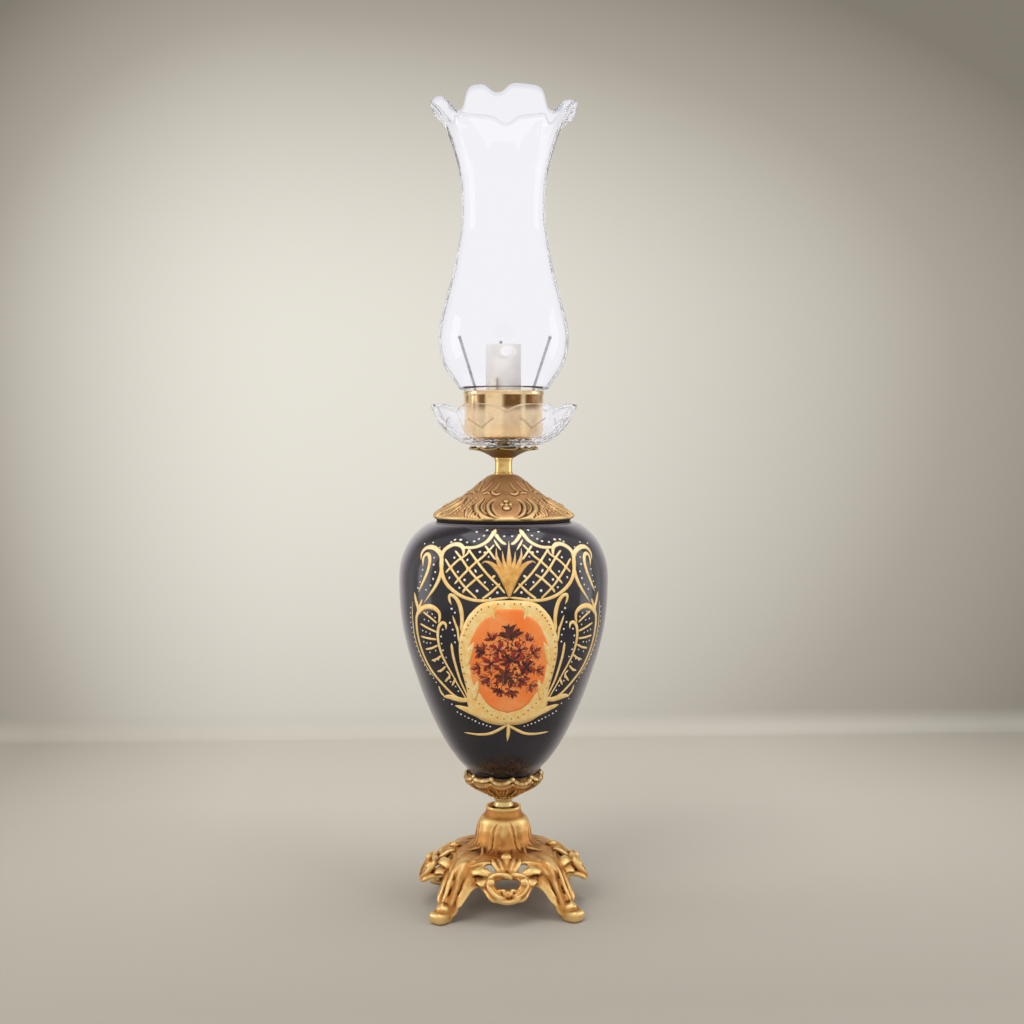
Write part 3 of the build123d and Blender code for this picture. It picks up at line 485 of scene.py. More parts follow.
# Toe pad under each corner, with the rolled lip where the leg ends
corner = math.radians(45)
toe_out, toe_side, toe_up = toe_axes = np.array([
    (math.sin(corner), -math.cos(corner), 0), (math.cos(corner), math.sin(corner), 0), (0, 0, 1)])
one_side.append(pebble(toe_out * 67.4 + toe_up * 4.5, (8, 7, 4.4), toe_axes, 3.4, rows=20, columns=32))
one_side.append(pebble(toe_out * 64.2 + toe_up * 8.6, (6.6, 6, 4.8), toe_axes, rows=14, columns=22))
lip_turn = np.linspace(-1, 1, 15)
lip = np.array([toe_out * (69.6 - 4.0 * t * t) + toe_side * 6.0 * t + toe_up * (9.0 - 2.4 * t * t)
                for t in lip_turn])
one_side.append(strand(lip, 1.6, 0.7))
spine = smooth_line([toe_out * r + toe_up * z for r, z in (
    (51.6, 37), (54.2, 34.8), (57.2, 29), (61, 21.4), (67, 13))])
one_side.append(strand(spine, 1.4, 1.0, up=toe_out + 0.4 * toe_up))

for side_number in range(4):
    foot_parts += [turned(part, 90 * side_number) for part in one_side]
foot = make_piece("foot_casting_chased", foot_parts)
cast_together(foot, FOOT_VOXEL)
mark_relief(foot, 14, 0.46)


def new_group(name, inputs, outputs):
    """An empty shader node group with named sockets."""
    group = bpy.data.node_groups.new(name, "ShaderNodeTree")
    for label, kind, value in inputs:
        socket = group.interface.new_socket(name=label, in_out="INPUT", socket_type=kind)
        if value is not None:
            socket.default_value = value
    for label, kind in outputs:
        group.interface.new_socket(name=label, in_out="OUTPUT", socket_type=kind)
    return group, group.nodes.new("NodeGroupInput"), group.nodes.new("NodeGroupOutput")


def noise(place, scale, detail=4.0, roughness=0.55):
    """A cloudy texture at a given scale per metre."""
    node = place.id_data.nodes.new("ShaderNodeTexNoise")
    feed(node, Vector=place, Scale=scale, Detail=detail, Roughness=roughness)
    return node.outputs["Fac"]


def feed(node, **values):
    """Set or link a node's inputs, by name or as _0, _1: to a number, a colour or another node's socket."""
    for label, value in values.items():
        socket = node.inputs[int(label[1:]) if label[1:].isdigit() else label.replace("_", " ")]
        if isinstance(value, bpy.types.NodeSocket):
            node.id_data.links.new(value, socket)
        else:
            socket.default_value = value


def spread(value, low, high, to_low=0.0, to_high=1.0, ease="SMOOTHSTEP"):
    """Stretch part of a value's range over another, and clamp it."""
    node = value.id_data.nodes.new("ShaderNodeMapRange")
    node.interpolation_type = ease
    feed(node, Value=value, From_Min=low, From_Max=high, To_Min=to_low, To_Max=to_high)
    return node.outputs["Result"]


def blend_colour(share, under, over):
    """Mix two colours; either may be a socket."""
    node = share.id_data.nodes.new("ShaderNodeMix")
    node.data_type = "RGBA"
    feed(node, Factor=share, A=under, B=over)
    return node.outputs["Result"]


def sum_of(first, second, kind="ADD"):
    """Arithmetic on two values; either may be a number."""
    node = (second if isinstance(first, float) else first).id_data.nodes.new("ShaderNodeMath")
    node.operation = kind
    feed(node, _0=first, _1=second)
    return node.outputs[0]


def times(first, second):
    """Two values multiplied."""
    return sum_of(first, second, "MULTIPLY")


def surface(shader, colour, roughness):
    """Give the shader a colour and a roughness that change over the surface."""
    feed(shader, Base_Color=colour, Roughness=roughness)


# Browned and rubbed brass: dark in the hollows, part real patina and part painted shade; bright on the
# ridges, part rubbed metal and part painted highlight; mottled between
browned, given, made = new_group(
    "browned_brass",
    [("Relief", "NodeSocketFloat", 0.5), ("Place", "NodeSocketVector", None),
     ("Bright", "NodeSocketColor", tint(250, 214, 144)),
     ("Body", "NodeSocketColor", tint(210, 150, 82)), ("Stain", "NodeSocketColor", tint(170, 110, 58)),
     ("Hollow", "NodeSocketColor", tint(92, 52, 24)), ("Mottle scale", "NodeSocketFloat", 90.0)],
    [("Color", "NodeSocketColor"), ("Roughness", "NodeSocketFloat"), ("Height", "NodeSocketFloat")])
given, place = given.outputs, given.outputs["Place"]
cloud = noise(place, given["Mottle scale"], 5.0, 0.5)
grit = noise(place, 2600.0, 3.0, 0.6)
speck = noise(place, 700.0, 3.0, 0.6)
stained = blend_colour(spread(cloud, 0.46, 0.72), given["Body"], given["Stain"])
level = sum_of(given["Relief"], times(sum_of(speck, 0.5, "SUBTRACT"), 0.22))
# hollows darkened with patina and painted shade together; the ridges' bright colour below is rubbed metal
# with a painted highlight
shaded = blend_colour(spread(level, 0.08, 0.46), given["Hollow"], stained)
feed(made, Roughness=spread(level, 0.15, 0.95, 0.54, 0.36),
     Color=blend_colour(spread(level, 0.56, 0.92, 0.0, 0.9), shaded, given["Bright"]),
     Height=sum_of(times(grit, 0.5), speck))


def finish_material(name, **settings):
    """A new material with a Principled shader and its plain sockets set."""
    material = bpy.data.materials.new(name)
    material.use_nodes = True
    shader = material.node_tree.nodes["Principled BSDF"]
    feed(shader, **settings)
    return material, material.node_tree, shader


def place_of(tree):
    """Object coordinates: every piece sits at the origin, so these are metres in the lamp's own frame."""
    return tree.nodes.new("ShaderNodeTexCoord").outputs["Object"]


def height_up(tree, axis="Z"):
    """Metres from the floor, or along another axis of the lamp's frame."""
    node = tree.nodes.new("ShaderNodeSeparateXYZ")
    feed(node, Vector=place_of(tree))
    return node.outputs[axis]


def marked(tree, name):
    """A value stored on the piece's points, such as its relief: 0 in hollows and 1 on ridges."""
    node = tree.nodes.new("ShaderNodeAttribute")
    node.attribute_name = name
    return node.outputs["Fac"]


def bumped(shader, height, distance, strength=1.0):
    """Fine surface from a height value."""
    node = shader.id_data.nodes.new("ShaderNodeBump")
    feed(node, Height=height, Distance=distance, Strength=strength)
    feed(shader, Normal=node.outputs["Normal"])


def metal_finish(name, effect, metallic, bump, **settings):
    """A metal whose colour, roughness and fine surface come from a shared effect with its own settings."""
    material, tree, shader = finish_material(name, Metallic=metallic, Specular_IOR_Level=0.5)
    group = tree.nodes.new("ShaderNodeGroup")
    group.node_tree = effect
    feed(group, Place=place_of(tree), **settings)
    surface(shader, group.outputs["Color"], group.outputs["Roughness"])
    bumped(shader, group.outputs["Height"], bump)
    return material, tree, group


def browned_metal(name, metallic=0.85, **colours):
    """Material in browned and rubbed brass, with its own colours."""
    material, tree, group = metal_finish(name, browned, metallic, 0.00004, **colours)
    feed(group, Relief=marked(tree, "relief"))
    return material


foot.data.materials.append(browned_metal("foot_brass"))
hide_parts("foot_casting")
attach(foot, "lamp")

# ------------------------------------------------------------------ under the foot
# Zinc-plated nut and washers draw the brass tube down through the foot; a cream nylon bush lines
# its lower end. They are turned and stamped stock parts, greased with handling and a little dull.
turned_stock, given, made = new_group(
    "turned_stock",
    [("Place", "NodeSocketVector", None), ("Colour", "NodeSocketColor", tint(200, 200, 200)),
     ("Smudge", "NodeSocketColor", tint(120, 115, 110)), ("Polish", "NodeSocketFloat", 0.3),
     ("Rings", "NodeSocketFloat", 900.0)],
    [("Color", "NodeSocketColor"), ("Roughness", "NodeSocketFloat"), ("Height", "NodeSocketFloat")])
given, place = given.outputs, given.outputs["Place"]


def lathe_marks(place, **settings):
    """The fine rings that a turning tool or a spinning roller leaves."""
    node = place.id_data.nodes.new("ShaderNodeTexWave")
    node.bands_direction = "Z"
    feed(node, Vector=place, **settings)
    return node.outputs["Fac"]


lathe_rings = lathe_marks(place, Scale=given["Rings"], Distortion=0.4, Detail=1.0)
smear = noise(place, 160.0, 5.0, 0.6)
nick = noise(place, 1500.0, 3.0, 0.5)
smudged = spread(smear, 0.45, 0.8, 0.0, 0.65)
feed(made, Color=blend_colour(smudged, given["Colour"], given["Smudge"]),
     Roughness=sum_of(given["Polish"], spread(smear, 0.4, 0.75, -0.04, 0.16)),
     Height=sum_of(lathe_rings, times(nick, 0.8)))


def turned_metal(name, colour, smudge, polish=0.3, rings=900.0, bump=0.00002, metallic=1.0):
    """Material in turned or spun stock, with its own colours."""
    return metal_finish(name, turned_stock, metallic, bump,
                        Colour=tint(*colour), Smudge=tint(*smudge), Polish=polish, Rings=rings)[0]


def dress(node, material):
    """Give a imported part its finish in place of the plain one."""
    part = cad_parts[node]
    part.data.materials.clear()
    part.data.materials.append(material)
    for face in part.data.polygons:
        face.material_index = 0


zinc = turned_metal("zinc_plate", (196, 198, 200), (128, 126, 120), 0.34, 500.0)
for node in ("base_washer", "base_lock_washer", "base_nut"):
    dress(node, zinc)
dress("central_rod", turned_metal("tube_brass", (214, 178, 108), (140, 104, 56), 0.32, 420.0, 0.00012))
dress("tube_bush", turned_metal("bush_nylon", (226, 214, 188), (196, 182, 150), 0.45, 300.0, metallic=0.0))

# ------------------------------------------------------------------ neck spacer
# Small spool turned from brass bar and left bright; it holds the vase's cup up off the bell.
def base_and_top(box):
    """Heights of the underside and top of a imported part's box, in millimetres."""
    low, high = box
    return low.z / mm, high.z / mm


neck_base, neck_top = base_and_top(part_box("neck_spacer"))
neck_tall = neck_top - neck_base


def lathe(profile, columns=96):
    """A closed ring of metal from a closed outline of distances and heights."""
    outline = np.asarray(profile, float)
    return closed_round(round_axis(outline[:, :1], outline[:, 1:], whole_turn(columns)))


def crease(piece, degrees=35):
    """Keep turned corners crisp."""
    piece.data.set_sharp_from_angle(angle=math.radians(degrees))
    return piece


spool = [(5.2, neck_base), (7.3, neck_base), (7.5, neck_base + 0.5), (7.3, neck_base + 1.0)]
spool += [(r, neck_base + share * neck_tall) for r, share in (
    (6.8, 0.28), (6.5, 0.42), (6.4, 0.56), (6.6, 0.7), (7, 0.84), (7.3, 0.93), (7.3, 1), (5.2, 1))]
neck = crease(make_piece("neck_spool", [lathe(spool)]))
neck_brass = turned_metal("neck_brass", (255, 232, 166), (220, 178, 104), 0.34, 700.0, metallic=0.7)
neck.data.materials.append(neck_brass)
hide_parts("neck_spacer")
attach(neck, "lamp")

# ------------------------------------------------------------------ leaf cup
# Cast brass cup of eleven drooping leaves that the vase stands in. Its outside is chased with veins
# and a beaded ground; its lip is rubbed bright and its ground left brown.
cup_base = base_and_top(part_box("leaf_cup"))[0]
CUP_LEAVES = 11
CUP_COLUMNS = 480
DISH_ROWS = 64


def raised(line, base):
    """The same outline, set on the height of a part's underside."""
    return [(r, base + z) for r, z in line]


def leafy_dish(outside, inside, leaves, droop, scallop, vein,
               columns=CUP_COLUMNS, turn_by=0.0, rough=0.25, seed=3):
    """A shallow cup whose wall is pressed into leaves: closed points and faces."""
    turn = whole_turn(columns)
    share = np.linspace(0, 1, DISH_ROWS)[:, None]
    across = ((turn + turn_by) * leaves / (2 * np.pi)) % 1.0 - 0.5
    lobe = np.cos(np.pi * across)[None]
    pleat = np.exp(-((0.5 - np.abs(across)) / 0.07) ** 2)[None]
    rim = np.clip((share - 0.62) / 0.38, 0, 1) ** 1.5
    chance = np.random.default_rng(seed)
    grids = []
    for line, side in ((outside, 1.0), (inside, -1.0)):
        rows = evenly(smooth_line(line), DISH_ROWS)
        r = rows[:, :1] + rim * scallop * (lobe - 0.55) + side * vein * pleat * (0.25 + 0.75 * rim)
        z = rows[:, 1:2] - rim * droop * lobe + rim * 0.8 * droop * pleat
        if side > 0:
            middle_vein = np.exp(-(across / 0.05) ** 2)[None]
            side_vein = 0.5 + 0.5 * np.cos(2 * np.pi * (share * 7 - np.abs(across)[None] * 2.4))
            body = np.clip(np.minimum(share / 0.12, (0.86 - share) / 0.12), 0, 1)
            r = r + body * (0.5 * vein * middle_vein + 0.38 * vein * side_vein * (1 - pleat))
            r = r + body * rough * chance.random((DISH_ROWS, columns))
        grids.append(round_axis(r, z, turn))
    return shell(*grids)


cup_outside = [(5.3, 0), (7.6, 0.3), (10.4, 2.4), (15.4, 6), (20, 8.6), (24, 10.8), (27.6, 13), (29.4, 15)]
cup_inside = [(5.3, 3), (9.4, 3), (13, 5.8), (18.6, 11), (22.8, 16), (25.4, 20.2), (27.4, 20), (29.4, 17)]
CUP_TURN = 0.38
cup_parts = [leafy_dish(raised(cup_outside, cup_base), raised(cup_inside, cup_base),
                        CUP_LEAVES, droop=1.6, scallop=1.6, vein=1.0, turn_by=CUP_TURN)]


def at_bearing(r, turn, z):
    """One point at a distance, a bearing and a height."""
    return r * math.sin(turn), -r * math.cos(turn), z


cup_chance = random.Random(17)
for number in range(CUP_LEAVES):
    # each leaf's lip hangs in a scallop between two folds, with a curl at the fold
    middle = 2 * math.pi * (number + 0.5) / CUP_LEAVES - CUP_TURN
    half = math.pi / CUP_LEAVES
    droop = 17.2 + cup_chance.uniform(-1.5, 0.9)
    lean = cup_chance.uniform(-0.9, 0.9)
    lip_line = []
    for share in np.linspace(-1, 1, 11):
        turn = middle + half * share
        reach = 29.2 - 1.9 * share ** 4 + cup_chance.uniform(-0.2, 0.2)
        lip_z = cup_base + droop + lean * share + (19.9 - droop) * abs(share) ** 1.8
        lip_line.append(at_bearing(reach, turn, lip_z))
    outward = at_bearing(0.86, middle, 0.5)
    cup_parts.append(strand(smooth_line(lip_line, 3), 1.7, 0.8, up=outward, blunt=0.12, sides=14))
    cup_parts.append(pebble(at_bearing(27.8, middle + half, cup_base + 19.4), (1.9, 1.9, 2.2)))
    # veins and beads on the ground under it
    for share in (-0.62, -0.2, 0.2, 0.62):
        vein = [at_bearing(r, middle + half * share * (0.55 + 0.012 * r), cup_base + z)
                for r, z in ((13, 3.6), (18, 6.6), (23, 9.2), (28.4, 12.8))]
        cup_parts.append(strand(smooth_line(vein, 4), 0.75, 0.8, up=at_bearing(1, middle, -1.0)))
    for r, z in ((11.4, 2.6), (15.2, 5), (19.4, 7.4), (23.4, 9.6)):
        for share in (-0.4, 0.05, 0.45):
            turn = middle + half * (share + cup_chance.uniform(-0.12, 0.12))
            cup_parts.append(pebble(at_bearing(r, turn, cup_base + z), (1, 1, 0.9), rows=5, columns=8))
cup = make_piece("leaf_cup_cast", cup_parts)
cast_together(cup, 0.42)
mark_relief(cup, 10, 0.3)
cup.data.materials.append(browned_metal("cup_brass", Bright=tint(255, 230, 172), Body=tint(196, 146, 84),
                                        Stain=tint(120, 76, 40), Hollow=tint(44, 26, 14)))
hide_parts("leaf_cup")
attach(cup, "lamp")

# ------------------------------------------------------------------ gaskets
# Soft black rubber rings keep the porcelain off the brass above and below.
material, tree, shader = finish_material("gasket_rubber", Roughness=0.75)
rubber_cloud = noise(place_of(tree), 500.0)
feed(shader, Base_Color=blend_colour(rubber_cloud, tint(24, 22, 22), tint(44, 41, 40)))
bumped(shader, rubber_cloud, 0.00005)
dress("lower_gasket", material)
seal_base, seal_top = base_and_top(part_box("upper_gasket"))
seal_outline = [(44.0, seal_base), (49.6, seal_base), (50.2, seal_base + 0.5),
                (50.2, seal_top - 0.5), (49.6, seal_top), (44.0, seal_top)]
seal = crease(make_piece("upper_seal", [lathe(seal_outline, 160)]))
seal.data.materials.append(material)
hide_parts("upper_gasket")
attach(seal, "lamp")

# ------------------------------------------------------------------ vase
# Pear-shaped porcelain vase, slip-cast and fired in a black-blue glaze that pools smooth and deep.
vase_base = base_and_top(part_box("vase_body"))[0]
VASE_COLUMNS = 256
VASE_WALL = 4.2
vase_points = [
    (10, 0.1), (15, 4), (20, 9), (25.2, 15), (30.2, 20.8), (34.9, 26), (41.4, 35), (46.6, 44), (51.2, 53),
    (55.3, 62), (59.1, 71), (62.5, 80), (65.6, 89), (68.6, 98), (71.3, 107), (73.6, 116), (75.5, 125),
    (76.8, 134), (77.7, 143), (78.1, 152), (78.3, 161), (77.8, 169), (76.4, 176), (74.2, 182), (71.2, 188),
    (67.4, 193.2), (62.6, 197.8), (57.6, 201.4), (54, 203), (50, 203.9),
]
vase_outline = evenly(smooth_line(raised(vase_points, vase_base)), 200)
vase_outer = round_axis(vase_outline[:, :1], vase_outline[:, 1:], whole_turn(VASE_COLUMNS))
vase_inner = vase_outer + VASE_WALL * facing(vase_outer)  # its rows climb, so they face inwards
vase_inner[..., 2] = np.clip(vase_inner[..., 2], vase_base + 3.5, vase_base + 201.0)
vase = make_piece("vase_glazed", [shell(vase_outer, vase_inner)])
material, tree, shader = finish_material("black_glaze", Specular_IOR_Level=0.42)
glaze_cloud = noise(place_of(tree), 26.0, 4.0)
glaze_pits = noise(place_of(tree), 420.0, 2.0)
glaze_deep = blend_colour(spread(glaze_cloud, 0.35, 0.7), tint(32, 29, 35), tint(44, 40, 50))


def edge_on(tree):
    """How nearly the surface is seen edge-on, from 0 to 1."""
    node = tree.nodes.new("ShaderNodeLayerWeight")
    feed(node, Blend=0.5)
    return node.outputs["Facing"]


# Painted sheen: the glaze is painted lavender where it is seen edge-on, standing in for the bright room it
# reflects there
edge_sheen = spread(edge_on(tree), 0.46, 1.0, 0.0, 0.85)
surface(shader, blend_colour(edge_sheen, glaze_deep, tint(170, 165, 176)),
        spread(glaze_cloud, 0.3, 0.75, 0.07, 0.15))
bumped(shader, sum_of(glaze_cloud, times(glaze_pits, 0.04)), 0.0004, 0.35)
vase.data.materials.append(material)
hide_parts("vase_body")
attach(vase, "lamp")

# ------------------------------------------------------------------ painting on the vase
# Hand-painted gilding fired over the glaze: a lattice under the shoulder, a medallion with a spray of
# flowers on an orange ground, ladders of leaf gold each side, and rows of white enamel dots.
gilded_r, gilded_z = vase_outline.T
gilded_slope = np.gradient(gilded_r, gilded_z)


def on_glaze(points, lift=0.0):
    """Points across and up on the vase's front, laid on its surface, with the surface's facing."""
    spots = np.asarray(points, float)
    r = np.interp(spots[:, 1], gilded_z, gilded_r)
    slope = np.interp(spots[:, 1], gilded_z, gilded_slope)
    aside = np.clip(np.abs(spots[:, 0]) / r, 0, 1.15)
    # past 0.9 of the way out the painting is wound on round the side
    wound = np.where(aside < 0.9, np.arcsin(np.minimum(aside, 0.9)), 1.1198 + 3.4 * (aside - 0.9))
    turn = np.sign(spots[:, 0]) * wound
    out = unit(np.stack([np.sin(turn), -np.cos(turn), -slope], axis=1))
    place = np.stack([r * np.sin(turn), -r * np.cos(turn), spots[:, 1]], axis=1)
    return place + lift * out, out


GILT_HIGH = 0.16


def brush(points, half_wide, sides=6, blunt=0.14, high=GILT_HIGH, base=0.0):
    """One stroke of a loaded brush: its half width may change along it, and its ends thin out."""
    flat = smooth_line(points, 7)
    flat = evenly(flat, max(6, int(length_of(flat) / 0.9)))
    place, out = on_glaze(flat, base)
    wide = np.cross(unit(np.gradient(place, axis=0)), out)
    share = np.linspace(0, 1, len(flat))
    halves = np.interp(share, np.linspace(0, 1, np.size(half_wide)), np.atleast_1d(half_wide))
    halves *= np.maximum(np.clip(np.minimum(share, 1 - share) / blunt, 0, 1) ** 0.6, 0.15)
    turn = whole_turn(sides)[None, :, None]
    rings = (place[:, None] + halves[:, None, None] * np.cos(turn) * wide[:, None]
             + high * np.sin(turn) * out[:, None])
    return capped(rings, place[0], place[-1])


def mirrored(points):
    """The same points on the other side of the front."""
    return [(-x, z) for x, z in points]


def patch(outline, centre, lift, rings=14, around=200):
    """A thin field of colour inside a closed outline."""
    border = evenly(smooth_line(list(outline) + [outline[0]]), around + 1)[:-1]
    middle = np.array(centre, float)
    top, low = [], []
    for share in np.linspace(0.03, 1.0, rings):
        flat = middle + share * (border - middle)
        top.append(on_glaze(flat, lift if share < 0.99 else lift * 0.5)[0])
        low.append(on_glaze(flat, -0.25)[0])
    return shell(np.array(top), np.array(low))


def dot(x, z, size, long=1.0, lean=0.0, lift=0.1, high=0.32):
    """A bead of enamel, round or drawn out."""
    place, out = on_glaze([(x, z)], lift)
    out = out[0]
    side = unit(np.cross([0, 0, 1.0], out))
    up = np.cross(out, side)
    c, s = math.cos(lean), math.sin(lean)
    axes = (c * side + s * up, c * up - s * side, out)
    return pebble(place[0], (size * long, size, high), axes, rows=4, columns=10)


def row_of_dots(points, spacing, size):
    """Enamel dots set down one after another along a line, never quite evenly."""
    flat = smooth_line(points)
    return [dot(x + dot_chance.normal(0, 0.18), z + dot_chance.normal(0, 0.18),
                size * dot_chance.uniform(0.75, 1.15))
            for x, z in evenly(flat, max(2, int(length_of(flat) / spacing)))]


def reflected(part):
    """The same part on the other side of the vase's front."""
    return np.asarray(part[0]) * np.array([-1.0, 1, 1]), [tuple(face)[::-1] for face in part[1]]


dot_chance = np.random.default_rng(8)

# Lattice cartouche: scrolled frame, crossed bars and a dot in each cell (left half; repeated on the right)
gilt = [
    brush([(-31.8, 266.4), (-31.6, 270.4), (-32.8, 273.6), (-37, 274.8), (-42.4, 272.6), (-46.2, 268.6),
           (-47.3, 262.6), (-47.1, 257), (-46, 251.8), (-43.4, 247), (-39.6, 243.2), (-34.6, 239.8),
           (-29, 237.6), (-22.6, 236.4), (-15, 236.6), (-7, 238),
           (0, 238.8)], (0.6, 1.9, 1.8, 1.7, 1.6, 1.5, 1.3, 1.2, 1.1, 0.9, 0.8), blunt=0.03),
    brush([(-33.4, 272.6), (-29.4, 272.8), (-25, 272.9), (-20, 274.3), (-15, 277.2), (-11.4, 281.2),
           (-8.6, 285.2)],
          (1, 1.25, 1.4, 1.5, 2), blunt=0.06),
    brush([(-8.8, 282.4), (-7.2, 279.6), (-4.4, 276.6), (-1.6, 275.2)], (1.5, 1.3, 1.1), blunt=0.1),
    brush([(-10.2, 278.6), (-8.2, 275.2), (-5.4, 271.2)], (0.5, 0.9, 0.5)),
]
lattice_bars = [
    [(-44.6, 264.6), (-40.4, 258), (-35, 250.6), (-30, 244.6), (-22.4, 237.6)],
    [(-37.6, 270.6), (-33, 265), (-28.6, 258.6), (-22.6, 251.6), (-14, 243.2)],
    [(-28.4, 272), (-22.6, 264), (-18, 258), (-13, 252.4), (-7, 246.4), (-3, 241.6)],
    [(-16.6, 274.6), (-12.6, 269.2), (-9.4, 264.8)],
    [(-44.2, 255), (-40.4, 259.4), (-35, 264.4), (-30.2, 267.6), (-26.4, 271.4)],
    [(-38.2, 247.4), (-35, 251), (-29, 257.4), (-23, 263), (-18, 267), (-14, 271), (-10, 275.2)],
    [(-30.2, 245.2), (-26.6, 248.4), (-23, 251.6), (-18.2, 254.8)],
    [(-19.2, 237.4), (-15.6, 240), (-12, 243), (-6.4, 248.6)],
    [(-32.4, 241.2), (-31.4, 243.4), (-29, 245.4)],
    [(-12.2, 252.4), (-9.8, 254.2)],
]
gilt += [brush(bar, (0.75, 0.9, 0.85, 0.7), blunt=0.03) for bar in lattice_bars]
for x, z in ((-40.4, 258.4), (-35, 250.8), (-33.2, 265), (-28.8, 258.2), (-22.8, 263.4), (-22.8, 251.6),
             (-28, 270), (-16.6, 269.4)):
    gilt.append(dot(x, z, 1.25, high=0.24))
white = [dot(x, z, size, long, lean) for x, z, size, long, lean in (
    (-38, 265.6, 0.85, 1, 0), (-29, 264.4, 0.7, 1.5, 1.2), (-20.2, 270, 0.9, 1.1, 0),
    (-35.6, 256, 0.85, 1, 0), (-23.4, 257, 0.75, 1.9, -1.1), (-41.6, 251.6, 0.6, 1.8, 1.2),
    (-31, 250.6, 0.95, 1, 0), (-17, 249.2, 0.7, 1.4, 1), (-34.6, 245, 0.8, 1, 0), (-22.4, 243.2, 1.05, 1, 0),
    (-8.4, 242.2, 0.95, 1, 0), (-13.4, 238.2, 0.75, 1.2, 0), (-14.2, 266.8, 0.6, 1, 0),
    (-40, 276, 0.75, 1.3, 0.5), (-37.4, 277.6, 0.85, 1.3, 0.6), (-33.4, 277.8, 1, 1.3, 0),
    (-29, 276.2, 0.8, 1.2, 0), (-24, 277, 0.85, 1.2, 0.3), (-20.6, 278.6, 0.8, 1.1, 0.4),
    (-17, 280.8, 0.75, 1.3, 0.4), (-14.6, 284.4, 0.85, 1.2, 0.6), (-22, 283.2, 0.75, 1.5, -0.2),
    (-2.8, 280.6, 0.8, 1.1, 0), (-11.6, 247.8, 0.5, 1, 0))]
for line, spacing, size in (
        ([(-58.6, 273.8), (-54.4, 275.4), (-50.4, 274.6), (-48, 271.8)], 3.2, 0.8),
        ([(-52.4, 264.6), (-52.8, 260.4), (-51.6, 255.4), (-52.4, 251.8), (-53.4, 248.2), (-55.4, 244.8),
          (-58, 241.8)],
         3.6, 0.8),
        ([(-60.4, 256), (-61.2, 252), (-62.4, 247), (-64, 242.6)], 3.2, 0.75)):
    white += row_of_dots(line, spacing, size)

# Scrolls beside the cartouche
gilt += [
    brush([(-61.6, 262.2), (-61.2, 266.6), (-58.8, 270.2), (-55, 271.8), (-51, 270.8), (-47.8, 267.6),
           (-46.9, 262), (-47.4, 256), (-49.2, 249.6), (-52.2, 243.6), (-55.8, 238),
           (-60, 231.6)],
           (0.8, 1.6, 2, 1.9, 1.6, 1.5, 1.5, 1.2, 0.7, 0.3), blunt=0.08),
    brush([(-60.2, 258), (-60, 263.6), (-58, 266.8), (-55.9, 266), (-55.4, 261.6), (-57, 255), (-59.6, 248.4),
           (-63.6, 239.4)],
          (0.8, 1.3, 1.7, 1.5, 1.3, 1.1, 0.7), blunt=0.1),
    brush([(-40.2, 232.6), (-41.6, 236), (-41.4, 239.4), (-38.2, 238.6), (-35.2, 234.6), (-33.4, 228.6),
           (-32.8, 221.6), (-33.6, 214)],
          (0.8, 1.2, 1.6, 1.7, 1.4, 1.2), blunt=0.08),
    brush([(-39.4, 225), (-37.6, 219.6), (-35.8, 214.4), (-35, 206)], (0.7, 1, 0.8)),
    brush([(-40.2, 205), (-39.2, 197), (-37, 188), (-33.6, 177), (-30.2, 169.4), (-27.4, 162.6)],
          (1.1, 1.1, 1, 0.8, 0.6), blunt=0.06),
]

# Ladders of leaf gold down each side: a crescent head, two rails, and rungs with dots between
outer_rail = [(-63.4, 227), (-65, 219.6), (-64.4, 210), (-62.2, 200), (-58.6, 190.4), (-53.2, 181),
              (-46.2, 173), (-39.4, 166.6),
              (-32.6, 162.2)]
inner_rail = [(-43.9, 214.6), (-44.3, 218.4), (-46.6, 219.2), (-49, 216.2), (-49.8, 210), (-49, 203),
              (-46.8, 195.6), (-43.4, 188.4), (-39.4, 181.4), (-35.8, 174.6), (-31.4, 167),
              (-28.4, 161.6)]
gilt += [
    brush(outer_rail, (1.6, 1.5, 1.3, 1.2, 1.2, 1.1, 1), blunt=0.04),
    brush(inner_rail, (1.1, 1.3, 1.2, 1.1, 0.9, 0.7, 0.6, 0.6), blunt=0.05),
    brush([(-63.8, 222.8), (-61.8, 227), (-57.4, 229.8), (-52.6, 229.4), (-49, 226.4), (-48.4, 222.4),
           (-49.4, 218.6)],
          (1.2, 1.9, 2, 1.8, 1.3, 0.8), blunt=0.08),
    brush([(-66.4, 238.8), (-65.4, 233.2), (-63.8, 227.4), (-63.8, 222)], (1.3, 1.8, 1.6), blunt=0.2),
    brush([(-60.8, 234.6), (-62, 231), (-63.6, 226.4)], (0.8, 1.2, 1.2)),
    brush([(-67.8, 231.6), (-67.9, 222), (-66.6, 208), (-63.4, 196.4), (-58.4, 185.6), (-52.4, 177.4)],
          (0.5, 0.6, 0.55, 0.5)),
    brush([(-49, 171.2), (-47.4, 166.6), (-44.6, 163.4)], (0.7, 1.1, 0.9)),
]
for rung in ([(-60.2, 225.6), (-55.4, 222.4), (-50.4, 218.6)], [(-62.2, 216.6), (-56.4, 214), (-50.6, 212)],
             [(-61.8, 207.2), (-56.4, 206.6), (-50.6, 206.6)], [(-58.4, 198), (-54, 199.6), (-49.6, 202.4)],
             [(-54.2, 190), (-50.6, 191.8), (-47, 195)], [(-50.2, 182.2), (-47, 183.8), (-44.2, 187.2)],
             [(-44.6, 175.2), (-42.8, 177.6), (-41.2, 181), (-43.8, 183.6)],
             [(-39.6, 172.8), (-38.4, 175.6), (-37, 179)]):
    gilt.append(brush(rung, (0.75, 0.85, 0.75), blunt=0.04))
